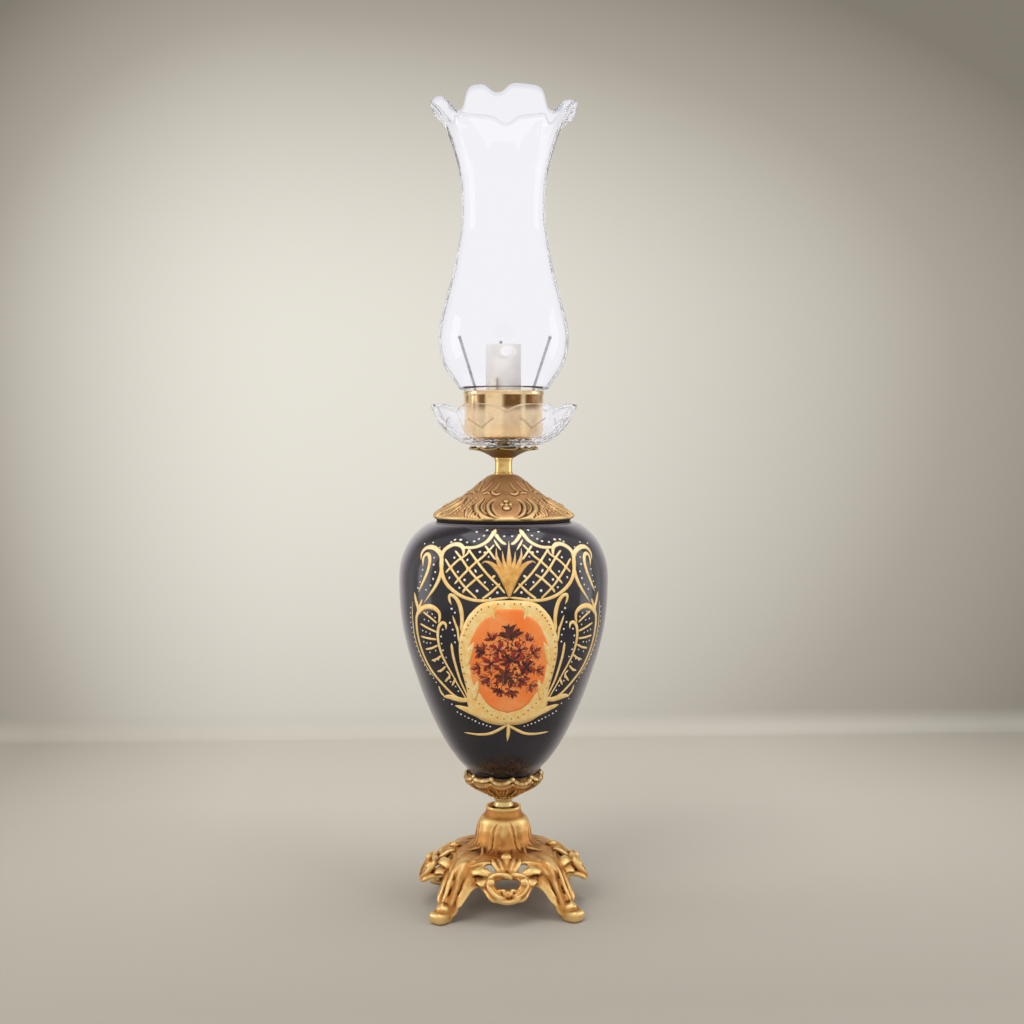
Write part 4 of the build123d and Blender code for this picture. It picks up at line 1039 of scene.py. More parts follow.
for x, z in ((-51.6, 222.6), (-59.2, 220.2), (-56.2, 219.6), (-53, 216.6), (-60.4, 211.8), (-58, 211.2),
             (-55.2, 210.4), (-59.6, 203.6), (-57.4, 203), (-54.8, 203.4), (-55.2, 196.2), (-51.2, 198.2),
             (-51.8, 190), (-49.2, 191.6), (-47.6, 182.8), (-41.2, 178.6), (-40.6, 175.8), (-53.6, 224.8),
             (-57, 225.6), (-46, 189.6), (-37, 172.6),
             (-35, 169.2)):
    white.append(dot(x, z, 0.62))
for line, spacing, size in (
        ([(-68.8, 227), (-68.9, 218), (-67.6, 208), (-64.8, 198), (-60.4, 187.6), (-54.6, 178.4),
          (-50.6, 173.6)],
         3.3, 0.6),
        ([(-46.2, 214.6), (-47.4, 209.6), (-47.2, 204.4), (-46.2, 199.6), (-43.8, 194)], 3.6, 0.78),
        ([(-40, 230), (-37.8, 227.4)], 2.8, 0.75),
        ([(-41.2, 219.6), (-39.4, 215.2), (-38, 210.6), (-37.6, 205.6)], 3.6, 0.78),
        ([(-45.4, 161), (-42.4, 159.2), (-39.6, 158.4)], 2.6, 0.6),
        ([(-35.4, 152.6), (-30, 150), (-24.4, 147.6), (-17.6, 145), (-12, 143.2)], 2.5, 0.62)):
    white += row_of_dots(line, spacing, size)

# Palmette: broad leaves fanning from the lattice's foot
palmette = [brush(path, width, blunt=0.3) for path, width in (
    ([(0, 238), (-2.4, 247.6), (-7, 256.6), (-11.6, 261.6), (-16.4, 263.6), (-19.2, 262)],
     (1.5, 1.9, 2.1, 2, 1.7, 1)),
    ([(-0.2, 240), (-2.4, 252), (-6.4, 261), (-8.6, 267), (-8.8, 272.6)], (1.7, 2, 1.7, 1)),
    ([(-0.2, 242), (-1.6, 255), (-3.8, 264), (-4.6, 270.6)], (1.7, 1.9, 1.5, 0.8)),
    ([(0, 238), (0, 252), (0, 266), (0.2, 277.6)], (2, 2, 1.9, 0.9)))]
palmette += [reflected(part) for part in palmette[:3]]

# Medallion: a broad gold frame with leafy feet, round an orange field whose edge runs in cusps and tongues
frame_left = [(0, 144.8), (-6, 144.6), (-14, 146.2), (-21, 149.6), (-26.4, 154.6), (-28.6, 160.2),
              (-28.6, 165.6), (-29.4, 171.4), (-31, 178), (-33, 186), (-34.6, 195), (-35, 203),
              (-34.2, 210.6), (-32, 218.2), (-28.8, 224.8), (-24, 230.6), (-18.6, 234.6), (-10, 236.4),
              (0, 236.8)]
medallion = patch(frame_left + mirrored(frame_left[1:-1][::-1]), (0, 192), 0.16, around=360)
field_left = [(0, 153.2), (-7, 155), (-12, 157.8), (-16.2, 161.6), (-19.4, 166.4), (-22.4, 170.8),
              (-24.6, 173.6), (-26.4, 179), (-27.3, 185), (-28, 190.4), (-29.4, 195.2), (-29.4, 200.4),
              (-28, 206.6), (-25.4, 213.4), (-22.2, 219.4), (-18.2, 223.8), (-14.6, 226), (-11.6, 226.6),
              (-10.4, 228.6), (-9.4, 231.2), (0, 231.6)]
orange_field = patch(field_left + mirrored(field_left[1:-1][::-1]), (0, 192), 0.24, around=420)
frame_dots_left = [dot(x, z, 0.62, high=0.22, lift=0.16) for x, z in (
    (-3.6, 234.4), (-8, 234.2), (-14.4, 232.2), (-19.4, 230.4), (-22, 228.4), (-23.4, 225.8), (-25.4, 223.8),
    (-27, 221.4), (-28.6, 218.8), (-29.8, 215.8), (-31.4, 211.4), (-32.8, 206.4), (-33.4, 202),
    (-33.3, 197.4), (-33, 193), (-32.2, 187.8), (-31.2, 183.2), (-29.8, 177), (-27.8, 171.8), (-25.2, 167.8),
    (-22.8, 163.8), (-20.2, 160.8), (-17.4, 157.8), (-14.6, 155.6), (-11.4, 152.6), (-7.4, 150.6),
    (-2.6, 149.6), (-26.8, 200.4), (-22.2, 171.4))]
gilt += [
    brush([(-8.4, 233.4), (-11.4, 231), (-11.8, 227.2), (-10.2, 223.2)], (0.9, 1.3, 0.8), base=0.2),
    brush([(-29.6, 189), (-28.6, 194.6), (-27, 200.6), (-24.4, 206.8)], (1.6, 2.3, 2, 0.7), base=0.2),
    brush([(-24.6, 164), (-23.4, 169.4), (-22.2, 174.2), (-21.4, 179)], (2.4, 2.4, 1.7, 0.7), base=0.2),
    brush([(-25, 165), (-31, 162.6), (-37, 163.2), (-41.6, 163.8), (-45.4, 163)], (1.8, 1.7, 2.3, 2.2, 1),
          blunt=0.1),
    brush([(-12, 149.6), (-21, 152.6), (-29.6, 155.6), (-37.4, 157.6)], (2.6, 3.2, 2.6, 1.1), blunt=0.1),
    brush([(-0.4, 144.6), (-5, 141.6), (-12, 137.8), (-20, 136.4), (-30.4, 136.8)], (1, 1.2, 1, 0.6),
          blunt=0.1),
]
tail = brush([(0.2, 146), (0.8, 140), (0.2, 131.6)], (1.3, 1.3, 0.8), blunt=0.3)

gilding = make_piece("vase_gilding", [medallion, tail] + gilt + [reflected(part) for part in gilt])
palmette_gilding = make_piece("vase_palmette", palmette)
enamel = make_piece("vase_enamel_dots", white + [reflected(part) for part in white])
frame_dots = make_piece("medallion_dots", frame_dots_left + [reflected(part) for part in frame_dots_left])
ground = make_piece("medallion_ground", [orange_field])

# Leaf gold burnished by hand: a little thin at stroke ends and streaked along the brush
for piece, name, thick, thin, rubbed in (
        (gilding, "leaf_gold", (255, 206, 120), (255, 230, 164), (222, 162, 86)),
        (palmette_gilding, "palmette_gold", (206, 148, 66), (240, 186, 104), (150, 98, 38))):
    material, tree, shader = finish_material(name, Metallic=0.1, Specular_IOR_Level=0.6)
    gold_cloud = noise(place_of(tree), 240.0, 5.0, 0.6)
    gold_streak = noise(place_of(tree), 1400.0, 2.0)
    gold_colour = blend_colour(spread(gold_cloud, 0.35, 0.7), tint(*thick), tint(*thin))
    worn = blend_colour(spread(gold_streak, 0.58, 0.82, 0.0, 0.18), gold_colour, tint(*rubbed))
    # painted highlight: the gold is painted paler on the shoulder, where it catches the light from above
    shoulder_highlight = spread(height_up(tree), 0.258, 0.278, 0.0, 0.6)
    surface(shader, blend_colour(shoulder_highlight, worn, tint(255, 240, 200)),
            spread(gold_cloud, 0.3, 0.8, 0.3, 0.5))
    bumped(shader, gold_streak, 0.00005)
    piece.data.materials.append(material)

material, tree, shader = finish_material("white_enamel", Coat_Weight=0.4)
enamel_cloud = noise(place_of(tree), 900.0)
surface(shader, blend_colour(enamel_cloud, tint(236, 226, 206), tint(252, 248, 238)),
        spread(enamel_cloud, 0.3, 0.7, 0.2, 0.4))
enamel.data.materials.append(material)

material, tree, shader = finish_material("brown_enamel", Coat_Weight=0.3)
surface(shader, blend_colour(noise(place_of(tree), 900.0), tint(120, 70, 28), tint(168, 110, 52)),
        spread(noise(place_of(tree), 300.0), 0.3, 0.7, 0.25, 0.45))
frame_dots.data.materials.append(material)

material, tree, shader = finish_material("orange_enamel", Coat_Weight=0.35, Coat_Roughness=0.1)
wash = noise(place_of(tree), 55.0, 5.0, 0.6)
fine_wash = noise(place_of(tree), 420.0, 4.0, 0.6)
wash_colour = blend_colour(spread(wash, 0.35, 0.7), tint(255, 132, 50), tint(255, 160, 88))
surface(shader, blend_colour(spread(fine_wash, 0.5, 0.85, 0.0, 0.4), wash_colour, tint(234, 110, 46)),
        spread(wash, 0.3, 0.8, 0.28, 0.42))
bumped(shader, fine_wash, 0.00004)
ground.data.materials.append(material)

# Spray of flowers, painted freely: stems and leaves first, then flowers whose petals are washed in
# and drawn round with a fine dark line
petal_chance = np.random.default_rng(20)
touches = {"spray_shadow": [], "spray_leaf": [], "spray_red": [], "spray_blush": []}


def leaf_touch(kind, x, z, long, wide, lean, lift=0.27):
    """One pressed touch of the brush: thick at the heel and pointed at the tip."""
    tip = (x + long * math.cos(lean), z + long * math.sin(lean))
    bend = petal_chance.normal(0, 0.14) * long
    middle = ((x + tip[0]) / 2 - bend * math.sin(lean), (z + tip[1]) / 2 + bend * math.cos(lean))
    halves = (0.5 * wide, wide, 0.3 * wide)
    touches[kind].append(brush([(x, z), middle, tip], halves, blunt=0.2, high=0.07, base=lift))


def fine_line(kind, points, wide=0.22, lift=0.34):
    """A line drawn with the brush's point."""
    halves = (0.7 * wide, wide, 0.4 * wide)
    touches[kind].append(brush(points, halves, sides=5, blunt=0.2, high=0.06, base=lift))


def petal_shape(kind, edge_kind, x, z, long, wide, lean, lift):
    """A petal: a wash of colour, two drawn edges that meet in a point, and a vein."""
    leaf_touch(kind, x, z, long, wide, lean, lift)
    c, s = math.cos(lean), math.sin(lean)
    for side in (-1, 1):
        edge_points = [(x + along * long * c - side * out * wide * s,
                        z + along * long * s + side * out * wide * c)
                       for along, out in ((0, 0.1), (0.35, 0.95), (0.72, 0.8), (1.06, 0.05))]
        fine_line(edge_kind, edge_points, 0.2, lift + 0.05)
    vein = [(x + along * long * c, z + along * long * s) for along in (0, 0.4, 0.7)]
    fine_line(edge_kind, vein, 0.16, lift + 0.06)


def flower(x, z, size, petals, kinds, lean_to=None):
    """A flower: seen from the front where it opens all round, or from its side where it leans one way."""
    spin = petal_chance.uniform(0, 2 * np.pi)
    edge_kind = "spray_shadow" if kinds[0] != "spray_shadow" else "spray_leaf"
    for number in range(petals):
        if lean_to is None:
            lean = spin + 2 * np.pi * number / petals + petal_chance.normal(0, 0.12)
            long = size * petal_chance.uniform(0.7, 1.05)
        else:
            lean = math.radians(lean_to) + (number / (petals - 1) - 0.5) * 2.4 + petal_chance.normal(0, 0.06)
            long = size * petal_chance.uniform(0.9, 1.2)
        heel_x, heel_z = x + 0.12 * size * math.cos(lean), z + 0.12 * size * math.sin(lean)
        petal_shape(kinds[number % len(kinds)], edge_kind, heel_x, heel_z, long, size * 0.21, lean,
                    0.29 + 0.012 * number)
    for number in range(6):
        lean = spin + 2 * np.pi * number / 6
        leaf_touch("spray_shadow", x, z, size * 0.22, size * 0.07, lean, 0.44)


# long thin stems that sway out of the bunch, each with a bud or a leaf at its end
STEMS = 30
SPRAY_MIDDLE = 191.0
for number in range(STEMS):
    lean = 2 * np.pi * number / STEMS + petal_chance.normal(0, 0.1)
    reach = petal_chance.uniform(0.72, 1.06)
    far_x, far_z = 19.5 * reach * math.cos(lean), SPRAY_MIDDLE + 22.0 * reach * math.sin(lean)
    sway_x, sway_z = -1.8 * math.sin(lean + number), 1.8 * math.cos(lean + number)
    stem = [(share * far_x + bent * sway_x, SPRAY_MIDDLE + share * (far_z - SPRAY_MIDDLE) + bent * sway_z)
            for share, bent in ((0.45, 0), (0.74, 1), (1, 0))]
    fine_line("spray_leaf" if number % 3 else "spray_shadow", stem, 0.3, 0.26)
    for side in (-1, 0, 1):
        bud_kind = ("spray_shadow", "spray_red", "spray_leaf")[(number + side) % 3]
        leaf_touch(bud_kind, far_x, far_z, petal_chance.uniform(1.6, 3),
                   petal_chance.uniform(0.35, 0.6), lean + 0.55 * side)
    for side in (-1, 1):
        along = petal_chance.uniform(0.62, 0.9)
        leaf_kind = "spray_shadow" if petal_chance.random() < 0.5 else "spray_leaf"
        leaf_touch(leaf_kind, far_x * along, SPRAY_MIDDLE + (far_z - SPRAY_MIDDLE) * along,
                   petal_chance.uniform(2, 3.8), petal_chance.uniform(0.4, 0.7),
                   lean + side * petal_chance.uniform(0.3, 1))
# dark leaves packed behind the flowers
for number in range(70):
    lean, away = petal_chance.uniform(0, 2 * np.pi), 13.5 * petal_chance.random() ** 0.5
    leaf_touch(("spray_shadow", "spray_leaf")[number % 2], away * math.cos(lean),
               190.0 + 1.1 * away * math.sin(lean), petal_chance.uniform(2, 4.2),
               petal_chance.uniform(0.5, 1.1), petal_chance.uniform(0, 2 * np.pi))
# flowers: dark ones at the top, middle and foot, reds and blushes between
dark, brown, wine = ("spray_shadow",), ("spray_shadow", "spray_leaf"), ("spray_shadow", "spray_red")
red, blush = ("spray_red", "spray_blush"), ("spray_blush", "spray_red")
deep_red = ("spray_red", "spray_shadow")
for x, z, size, petals, kinds, lean_to in (
        (1.6, 209.6, 8.4, 7, dark, 100), (-11.6, 209, 4.6, 5, red, 120), (12.6, 208.6, 4.4, 5, blush, 60),
        (-17.4, 200, 5.6, 6, deep_red, 170), (16.6, 198.6, 5.4, 6, blush, 20),
        (-7.4, 201.4, 6.4, 8, blush, None), (7.6, 201, 6.6, 8, red, None),
        (-12.4, 191.2, 6.6, 8, blush, None), (1, 193.6, 7, 9, deep_red, None),
        (13, 189, 6.2, 8, deep_red, None), (-20.4, 188, 4.6, 5, red, 190), (20.4, 186, 4.4, 5, blush, -10),
        (-2.6, 182.6, 6.4, 8, brown, None), (-13.8, 180.2, 5.4, 7, blush, 215),
        (8.2, 179.6, 5.8, 7, red, 300), (-6.4, 172.6, 4.4, 5, deep_red, 250),
        (2.6, 170.6, 4.2, 5, wine, 280), (15.4, 175.2, 4.6, 5, blush, 320)):
    flower(x, z, 1.06 * size, petals, kinds, lean_to)
spray_colours = {"spray_shadow": ((48, 22, 30), (84, 34, 34)), "spray_leaf": ((92, 40, 26), (132, 60, 34)),
                 "spray_red": ((150, 30, 20), (200, 62, 34)),
                 "spray_blush": ((255, 130, 70), (255, 164, 106))}
for name, parts in touches.items():
    piece = make_piece(name, parts)
    material, tree, shader = finish_material(name, Coat_Weight=0.25, Coat_Roughness=0.15)
    paint_cloud = noise(place_of(tree), 380.0, 4.0, 0.6)
    thick, thin = spray_colours[name]
    surface(shader, blend_colour(spread(paint_cloud, 0.35, 0.68), tint(*thick), tint(*thin)),
            spread(paint_cloud, 0.3, 0.7, 0.3, 0.5))
    piece.data.materials.append(material)
    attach(piece, "lamp")
for piece in (gilding, palmette_gilding, enamel, frame_dots, ground):
    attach(piece, "lamp")

# ------------------------------------------------------------------ vase cover
# Stamped and chased brass cover that caps the vase's mouth. Four scrolled cartouches are repoussed
# round its skirt, with beads, feathered leaves and dotted ribs between; it is browned, then rubbed.
cover_base, cover_top = base_and_top(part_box("vase_cover"))
cover_side = [(7.4, 0), (10.6, -1), (13.6, -2.8), (17.6, -6), (21.6, -9.4), (26.6, -13.2), (33.4, -18),
              (41, -22.2), (47, -25.8), (51, -28.8), (52.7, -31), (52.5, -32.2)]
cover_rows = evenly(smooth_line(raised(cover_side, cover_top)), 118)
cover_turn = whole_turn(660)
# Distance up the slope from the rim, and bearing from the middle of the nearest cartouche
cover_walk = np.r_[0, np.cumsum(np.linalg.norm(np.diff(cover_rows, axis=0), axis=1))]
cover_up = (cover_walk[-1] - cover_walk)[:, None] + 0 * cover_turn[None]
cover_bearing = ((np.degrees(cover_turn) + 45) % 90 - 45)[None] + 0 * cover_up
cover_relief = np.zeros_like(cover_up)


def chase(line, width, height, seam):
    """Raise a ridge (or sink a groove) along a line of bearings and distances up the cover."""
    global cover_relief
    path = evenly(smooth_line(line), 46)
    radius = np.interp(path[:, 1], cover_walk, cover_rows[::-1, 0])
    share = np.linspace(0, 1, len(path))
    taper = np.clip(np.minimum(share, 1 - share) / 0.22, 0.05, 1) ** 0.7
    best = np.full(cover_up.shape, 1e9)
    for (bearing, up), r, thin in zip(path, radius, taper):
        aside = np.radians(cover_bearing - bearing) * r
        best = np.minimum(best, (aside ** 2 + (cover_up - up) ** 2) / (width * thin) ** 2)
    cover_relief = cover_relief + height * np.exp(-best) - seam * np.exp(-(np.sqrt(best) - 1.9) ** 2 / 0.35)


def boss(bearing, up, size, height):
    """Raise a round bead."""
    global cover_relief
    radius = np.interp(up, cover_walk, cover_rows[::-1, 0])
    away = np.hypot(np.radians(cover_bearing - bearing) * radius, cover_up - up) / size
    sunk_round_it = 0.3 * np.exp(-((away - 1.25) / 0.22) ** 2)
    cover_relief = cover_relief + height * np.sqrt(np.clip(1 - away ** 2, 0, 1)) - sunk_round_it


cover_lines = [
    # cartouche: two C scrolls with a sunk line beside each
    ([(12, 25.5), (17.4, 23.6), (19.5, 19), (17, 11.5), (11.7, 4.6), (5, 1.6)], 0.9, 0.9, 0.6),
    ([(9, 23.6), (13.8, 21.6), (15.6, 17.6), (13.6, 11), (9.4, 6)], 0.5, -0.7, 0),
    # bright S leaf outside it, rolling under along the rim
    ([(29, 27), (31.7, 19.3), (29.6, 13.4), (25, 8.2), (17.5, 2.6), (9, 1.2)], 1.5, 1.3, 0.6),
    ([(24.4, 23.4), (26.4, 18), (23.4, 11.6), (17.6, 6.2)], 0.7, 0.8, 0.5),
    ([(27.8, 24), (28.6, 18), (26, 12.4)], 0.45, -0.6, 0),
    # dotted line down the slope
    ([(40.5, 28), (42.6, 16), (42, 4.4)], 0.6, 0.45, 0.3),
    # curls over the smooth upper part
    ([(12, 45.6), (17, 39.6), (21, 34.6), (14, 31.4), (6, 33.6)], 1.0, 0.75, 0.3),
    ([(30, 46), (36, 38.6), (42, 33.4)], 0.9, 0.7, 0.3),
    ([(24, 32.4), (30, 33.4), (36, 31.6)], 0.8, 0.6, 0.25),
]
# feathers fanning down to the rim
cover_lines += [([(high, long), (high - 0.4, 0.6 * long), (low, 1.6)], 0.8, 0.9, 0.5) for high, low, long in (
    (38.7, 34, 19), (35.6, 31.4, 15), (32.6, 28.8, 11.6), (29.4, 26, 8.6), (26, 22.8, 6.4))]
for hand in (-1, 1):
    for line, width, height, seam in cover_lines:
        chase([(hand * bearing, up) for bearing, up in line], width, height, seam)
    for number in range(7):
        boss(hand * (40.6 + 0.28 * number), 26.0 - 3.4 * number, 0.9, 0.6)
boss(0, 23, 1.9, 1.2)
boss(0, 13.4, 2.6, 1.5)
for bearing, up in ((-4.6, 18.6), (4.6, 18.6), (0, 18.2)):
    boss(bearing, up, 1.5, 0.9)
rim_roll = 0.5 * np.exp(-((cover_up - 1.2) / 1.0) ** 2)
cover_outer = round_axis(cover_rows[:, :1], cover_rows[:, 1:], cover_turn)
cover_outer = cover_outer + (0.72 * cover_relief + 0.5 * rim_roll)[..., None] * facing(cover_outer)
cover_inside = [(51.6, 0), (50, 0.2), (46, 3), (33, 10.4), (20, 18.6), (9, 26), (5.3, 28.6)]
cover_inside = np.array(raised(cover_inside, cover_base) + [(5.3, cover_top)])
cover_lining = round_axis(cover_inside[:, :1], cover_inside[:, 1:], cover_turn)
cover = make_piece("vase_cover_chased", [closed_round(np.concatenate([cover_outer, cover_lining]))])
mark_relief(cover, 9, 0.2)
cover_brass = browned_metal("cover_brass", metallic=0.7, Bright=tint(242, 208, 146), Body=tint(202, 154, 104),
                            Stain=tint(178, 128, 88), Hollow=tint(64, 34, 18))
cover.data.materials.append(cover_brass)
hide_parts("vase_cover")
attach(cover, "lamp")

# ------------------------------------------------------------------ stem and leaf dish
# Bright turned spacer over the cover, and a thin cast dish of leaves that carries the glass collar.
stem_base, stem_top = base_and_top(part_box("stem_spacer"))
stem_line = raised([(5.2, 0), (7, 0), (7.1, 0.7), (6.6, 1.5), (6.4, 5)], stem_base)
stem_line += raised([(6.4, -3.6), (6.7, -1.6), (7, -0.9), (7, 0), (5.2, 0)], stem_top)
stem = crease(make_piece("stem_turned", [lathe(stem_line)]))
stem.data.materials.append(turned_metal("stem_brass", (244, 206, 138), (150, 104, 56), 0.24, 600.0))
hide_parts("stem_spacer")
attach(stem, "lamp")

dish_base, dish_top = base_and_top(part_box("leaf_dish"))
dish_outside = raised([(5.3, 0), (7.6, 0.2), (11.4, 2.4), (17, 4.9), (22.6, 6.2), (26, 7.3)], dish_base)
dish_inside = raised([(5.3, 0), (8, 0), (12.2, -0.6), (18, -1), (22.6, -0.6), (25, 0.1)], dish_top)
dish = make_piece("leaf_dish_cast", [leafy_dish(dish_outside, dish_inside, 10, droop=1.0, scallop=1.1,
                                                vein=0.5,
                                                columns=320, turn_by=0.2, rough=0.15, seed=5)])
mark_relief(dish, 8, 0.25)
dish_brass = browned_metal("dish_brass", metallic=0.7, Bright=tint(206, 172, 106), Body=tint(128, 102, 56),
                           Stain=tint(96, 72, 40), Hollow=tint(42, 30, 16))
dish.data.materials.append(dish_brass)
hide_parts("leaf_dish")
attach(dish, "lamp")
dress("dish_washer", zinc)

# ------------------------------------------------------------------ glass collar
# Pressed clear glass saucer of eight petals, each with ribbed facets that fan to a thick fire-polished
# rim, and a ring of small cut stars where the petals meet the plain foot.
collar_base, collar_top = base_and_top(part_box("glass_bobeche"))
PETALS = 8
collar_line = [(24, 0.2), (28, 0.8), (31, 2), (36, 4.4), (40.2, 7.4), (44, 10.6), (47.1, 13.7), (49.8, 17.6),
               (51.8, 21.2), (53.8, 25), (55.6, 28.4), (56.3, 29.4)]
collar_rows = evenly(smooth_line(collar_line), 84)
collar_turn = whole_turn(640)
petal = (collar_turn * PETALS / (2 * np.pi)) % 1.0 - 0.5
petal_share = np.linspace(0, 1, len(collar_rows))[:, None]
parting = (np.abs(2 * petal) ** 2.0)[None]
opened = np.clip((petal_share - 0.3) / 0.7, 0, 1) ** 1.4
# Cut lines: two that cross under each petal, a fan below them and small stars round the foot
from_middle = np.abs(petal)[None]
crossing = np.exp(-((petal_share - 0.58 - 0.8 * from_middle) / 0.02) ** 2) * (from_middle < 0.26)
fan = np.abs((petal[None] * 6.0) % 1.0 - 0.5) * 2
facet_band = np.clip(np.minimum((petal_share - 0.26) / 0.05, (0.56 - petal_share) / 0.12), 0, 1)
star_band = np.exp(-((petal_share - 0.2) / 0.07) ** 2)
stars = np.abs(((collar_turn * 32 / (2 * np.pi)) % 1.0) - 0.5)[None] * 2
collar_r = collar_rows[:, :1] - opened * 5.6 * parting
collar_z = collar_base + collar_rows[:, 1:2] - opened ** 1.3 * 5.2 * parting
cut_depth = facet_band * 0.55 * fan + 0.9 * crossing + star_band * 0.9 * stars
collar_outer = round_axis(collar_r, collar_z, collar_turn)
collar_face = -facing(collar_outer)  # its rows climb
collar_wall = 4.3 - 1.1 * petal_share
collar_inner = collar_outer - collar_face * collar_wall[..., None]
collar_inner[..., 2] = np.maximum(collar_inner[..., 2], collar_base + 4.6)
collar_outer = collar_outer - collar_face * (cut_depth * 0.62)[..., None]


def polished_lip(outside, inside, steps, bulge):
    """Rows of the rounded, fire-polished lip that joins a glass wall's outside to its inside."""
    middle, across = (outside[-1] + inside[-1]) / 2, (outside[-1] - inside[-1]) / 2
    upward = unit(np.gradient(outside, axis=0)[-1])
    return [middle + across * math.cos(bend) + upward * bulge * math.sin(bend)
            for bend in np.linspace(0, math.pi, steps + 1)[1:-1]]


collar_lip = polished_lip(collar_outer, collar_inner, 6, 1.5)
collar_hole = np.array(raised([(12, 5), (5.4, 5), (5.4, 0), (12, 0)], collar_base))
collar_bore = round_axis(collar_hole[:, :1], collar_hole[:, 1:], collar_turn)
collar_grid = np.concatenate([collar_outer, collar_lip, collar_inner[::-1], collar_bore])
collar_grid[..., 2] = np.minimum(collar_grid[..., 2], collar_top + 0.6)
collar = make_piece("glass_collar", [closed_round(collar_grid)])
collar_marks = np.zeros(collar_grid.shape[:2])
collar_marks[:len(collar_rows)] = np.maximum(np.clip(crossing, 0, 1), 0.55 * star_band * stars ** 3)
collar_marks[len(collar_rows) - 1:len(collar_rows) + 2] = 0.35
store(collar, "cuts", collar_marks)
clear_white = tint(255, 255, 255)
material, tree, shader = finish_material("pressed_glass", Base_Color=clear_white, Roughness=0.02, IOR=1.13,
                                         Transmission_Weight=1.0, Coat_Weight=0.9, Coat_Roughness=0.04)
# The wheel-cut lines and the turn of the lip hold a warm grey shadow
feed(shader, Base_Color=blend_colour(marked(tree, "cuts"), clear_white, tint(172, 152, 136)))
bumped(shader, noise(place_of(tree), 120.0, 2.0), 0.0003, 0.2)


def let_light_in(shader):
    """Clear glass throws next to no shadow, and its edge fades where it is seen edge-on."""
    ray_kind = shader.id_data.nodes.new("ShaderNodeLightPath")
    edge_stays = spread(edge_on(shader.id_data), 0.8, 0.95, 1.0, 0.15)
    lit_through = sum_of(1.0, ray_kind.outputs["Is Shadow Ray"], "SUBTRACT")
    feed(shader, Alpha=times(edge_stays, lit_through))


let_light_in(shader)
collar.data.materials.append(material)
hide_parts("glass_bobeche")
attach(collar, "lamp")

# ------------------------------------------------------------------ gallery
# Spun brass cup, polished to a mirror and lacquered, that the glass chimney stands in. Its rim is
# rolled; a washer, a plate for the springs and a nut clamp it to the tube.
gallery_base, gallery_top = base_and_top(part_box("gallery_cup"))
gallery_outline = (
    raised([(5.3, 0), (27.6, 0), (28.8, 0.4), (29.5, 1.6), (29.7, 4)], gallery_base)
    + raised([(29.8, -4.6), (30, -3.2), (30.4, -2.4), (30.5, -1.2), (30.1, -0.3), (29.5, 0), (29, -0.6),
              (29, -3)],
             gallery_top)
    + raised([(28.9, 4.4), (28.6, 2.2), (27.4, 0.9), (5.3, 0.9)], gallery_base))
gallery = make_piece("gallery_spun", [lathe(gallery_outline, 180)])
crease(gallery, 50)
material, tree, shader = finish_material("polished_brass", Metallic=1.0, Specular_IOR_Level=0.5,
                                         Coat_Weight=0.35, Coat_Roughness=0.05)
spin_marks = lathe_marks(place_of(tree), Scale=700.0, Distortion=0.6)
lacquer_cloud = noise(place_of(tree), 38.0, 4.0)
finger_marks = noise(place_of(tree), 150.0, 4.0, 0.6)
brass_colour = blend_colour(spread(lacquer_cloud, 0.35, 0.7), tint(246, 210, 158), tint(255, 232, 186))
# Broad upright bands, as a mirror-polished cup shows the room round it; the rolled rim stays clear


def flattened(tree, scale):
    """The place, multiplied along each axis."""
    node = tree.nodes.new("ShaderNodeVectorMath")
    node.operation = "MULTIPLY"
    feed(node, _0=place_of(tree), _1=scale)
    return node.outputs["Vector"]


room_bands = spread(noise(flattened(tree, (1, 1, 0.02)), 62.0, 2.0, 0.5), 0.42, 0.56)
below_rim = spread(height_up(tree), (gallery_top - 3.6) * mm, (gallery_top - 2.6) * mm, 1.0, 0.0)
above_collar = spread(height_up(tree), 0.3685, 0.3745, 0.25, 1.0)
in_front = spread(sum_of(height_up(tree, "X"), 0.0, "ABSOLUTE"), 0.022, 0.0285, 1.0, 0.0)
band_share = times(times(room_bands, times(below_rim, above_collar)), in_front)
brass_colour = blend_colour(band_share, brass_colour, tint(112, 76, 36))
handled = spread(finger_marks, 0.5, 0.8, 0.0, 0.35)
surface(shader, blend_colour(handled, brass_colour, tint(190, 138, 88)),
        spread(finger_marks, 0.35, 0.8, 0.1, 0.24))
bumped(shader, sum_of(spin_marks, lacquer_cloud), 0.000012)
gallery.data.materials.append(material)
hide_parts("gallery_cup")
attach(gallery, "lamp")
for node in ("gallery_washer", "gallery_nut"):
    dress(node, zinc)
plate_steel = turned_metal("plate_steel", (176, 178, 182), (108, 104, 100), 0.36, 260.0)
for node in ("prong_plate", "prong_pins"):
    dress(node, plate_steel)

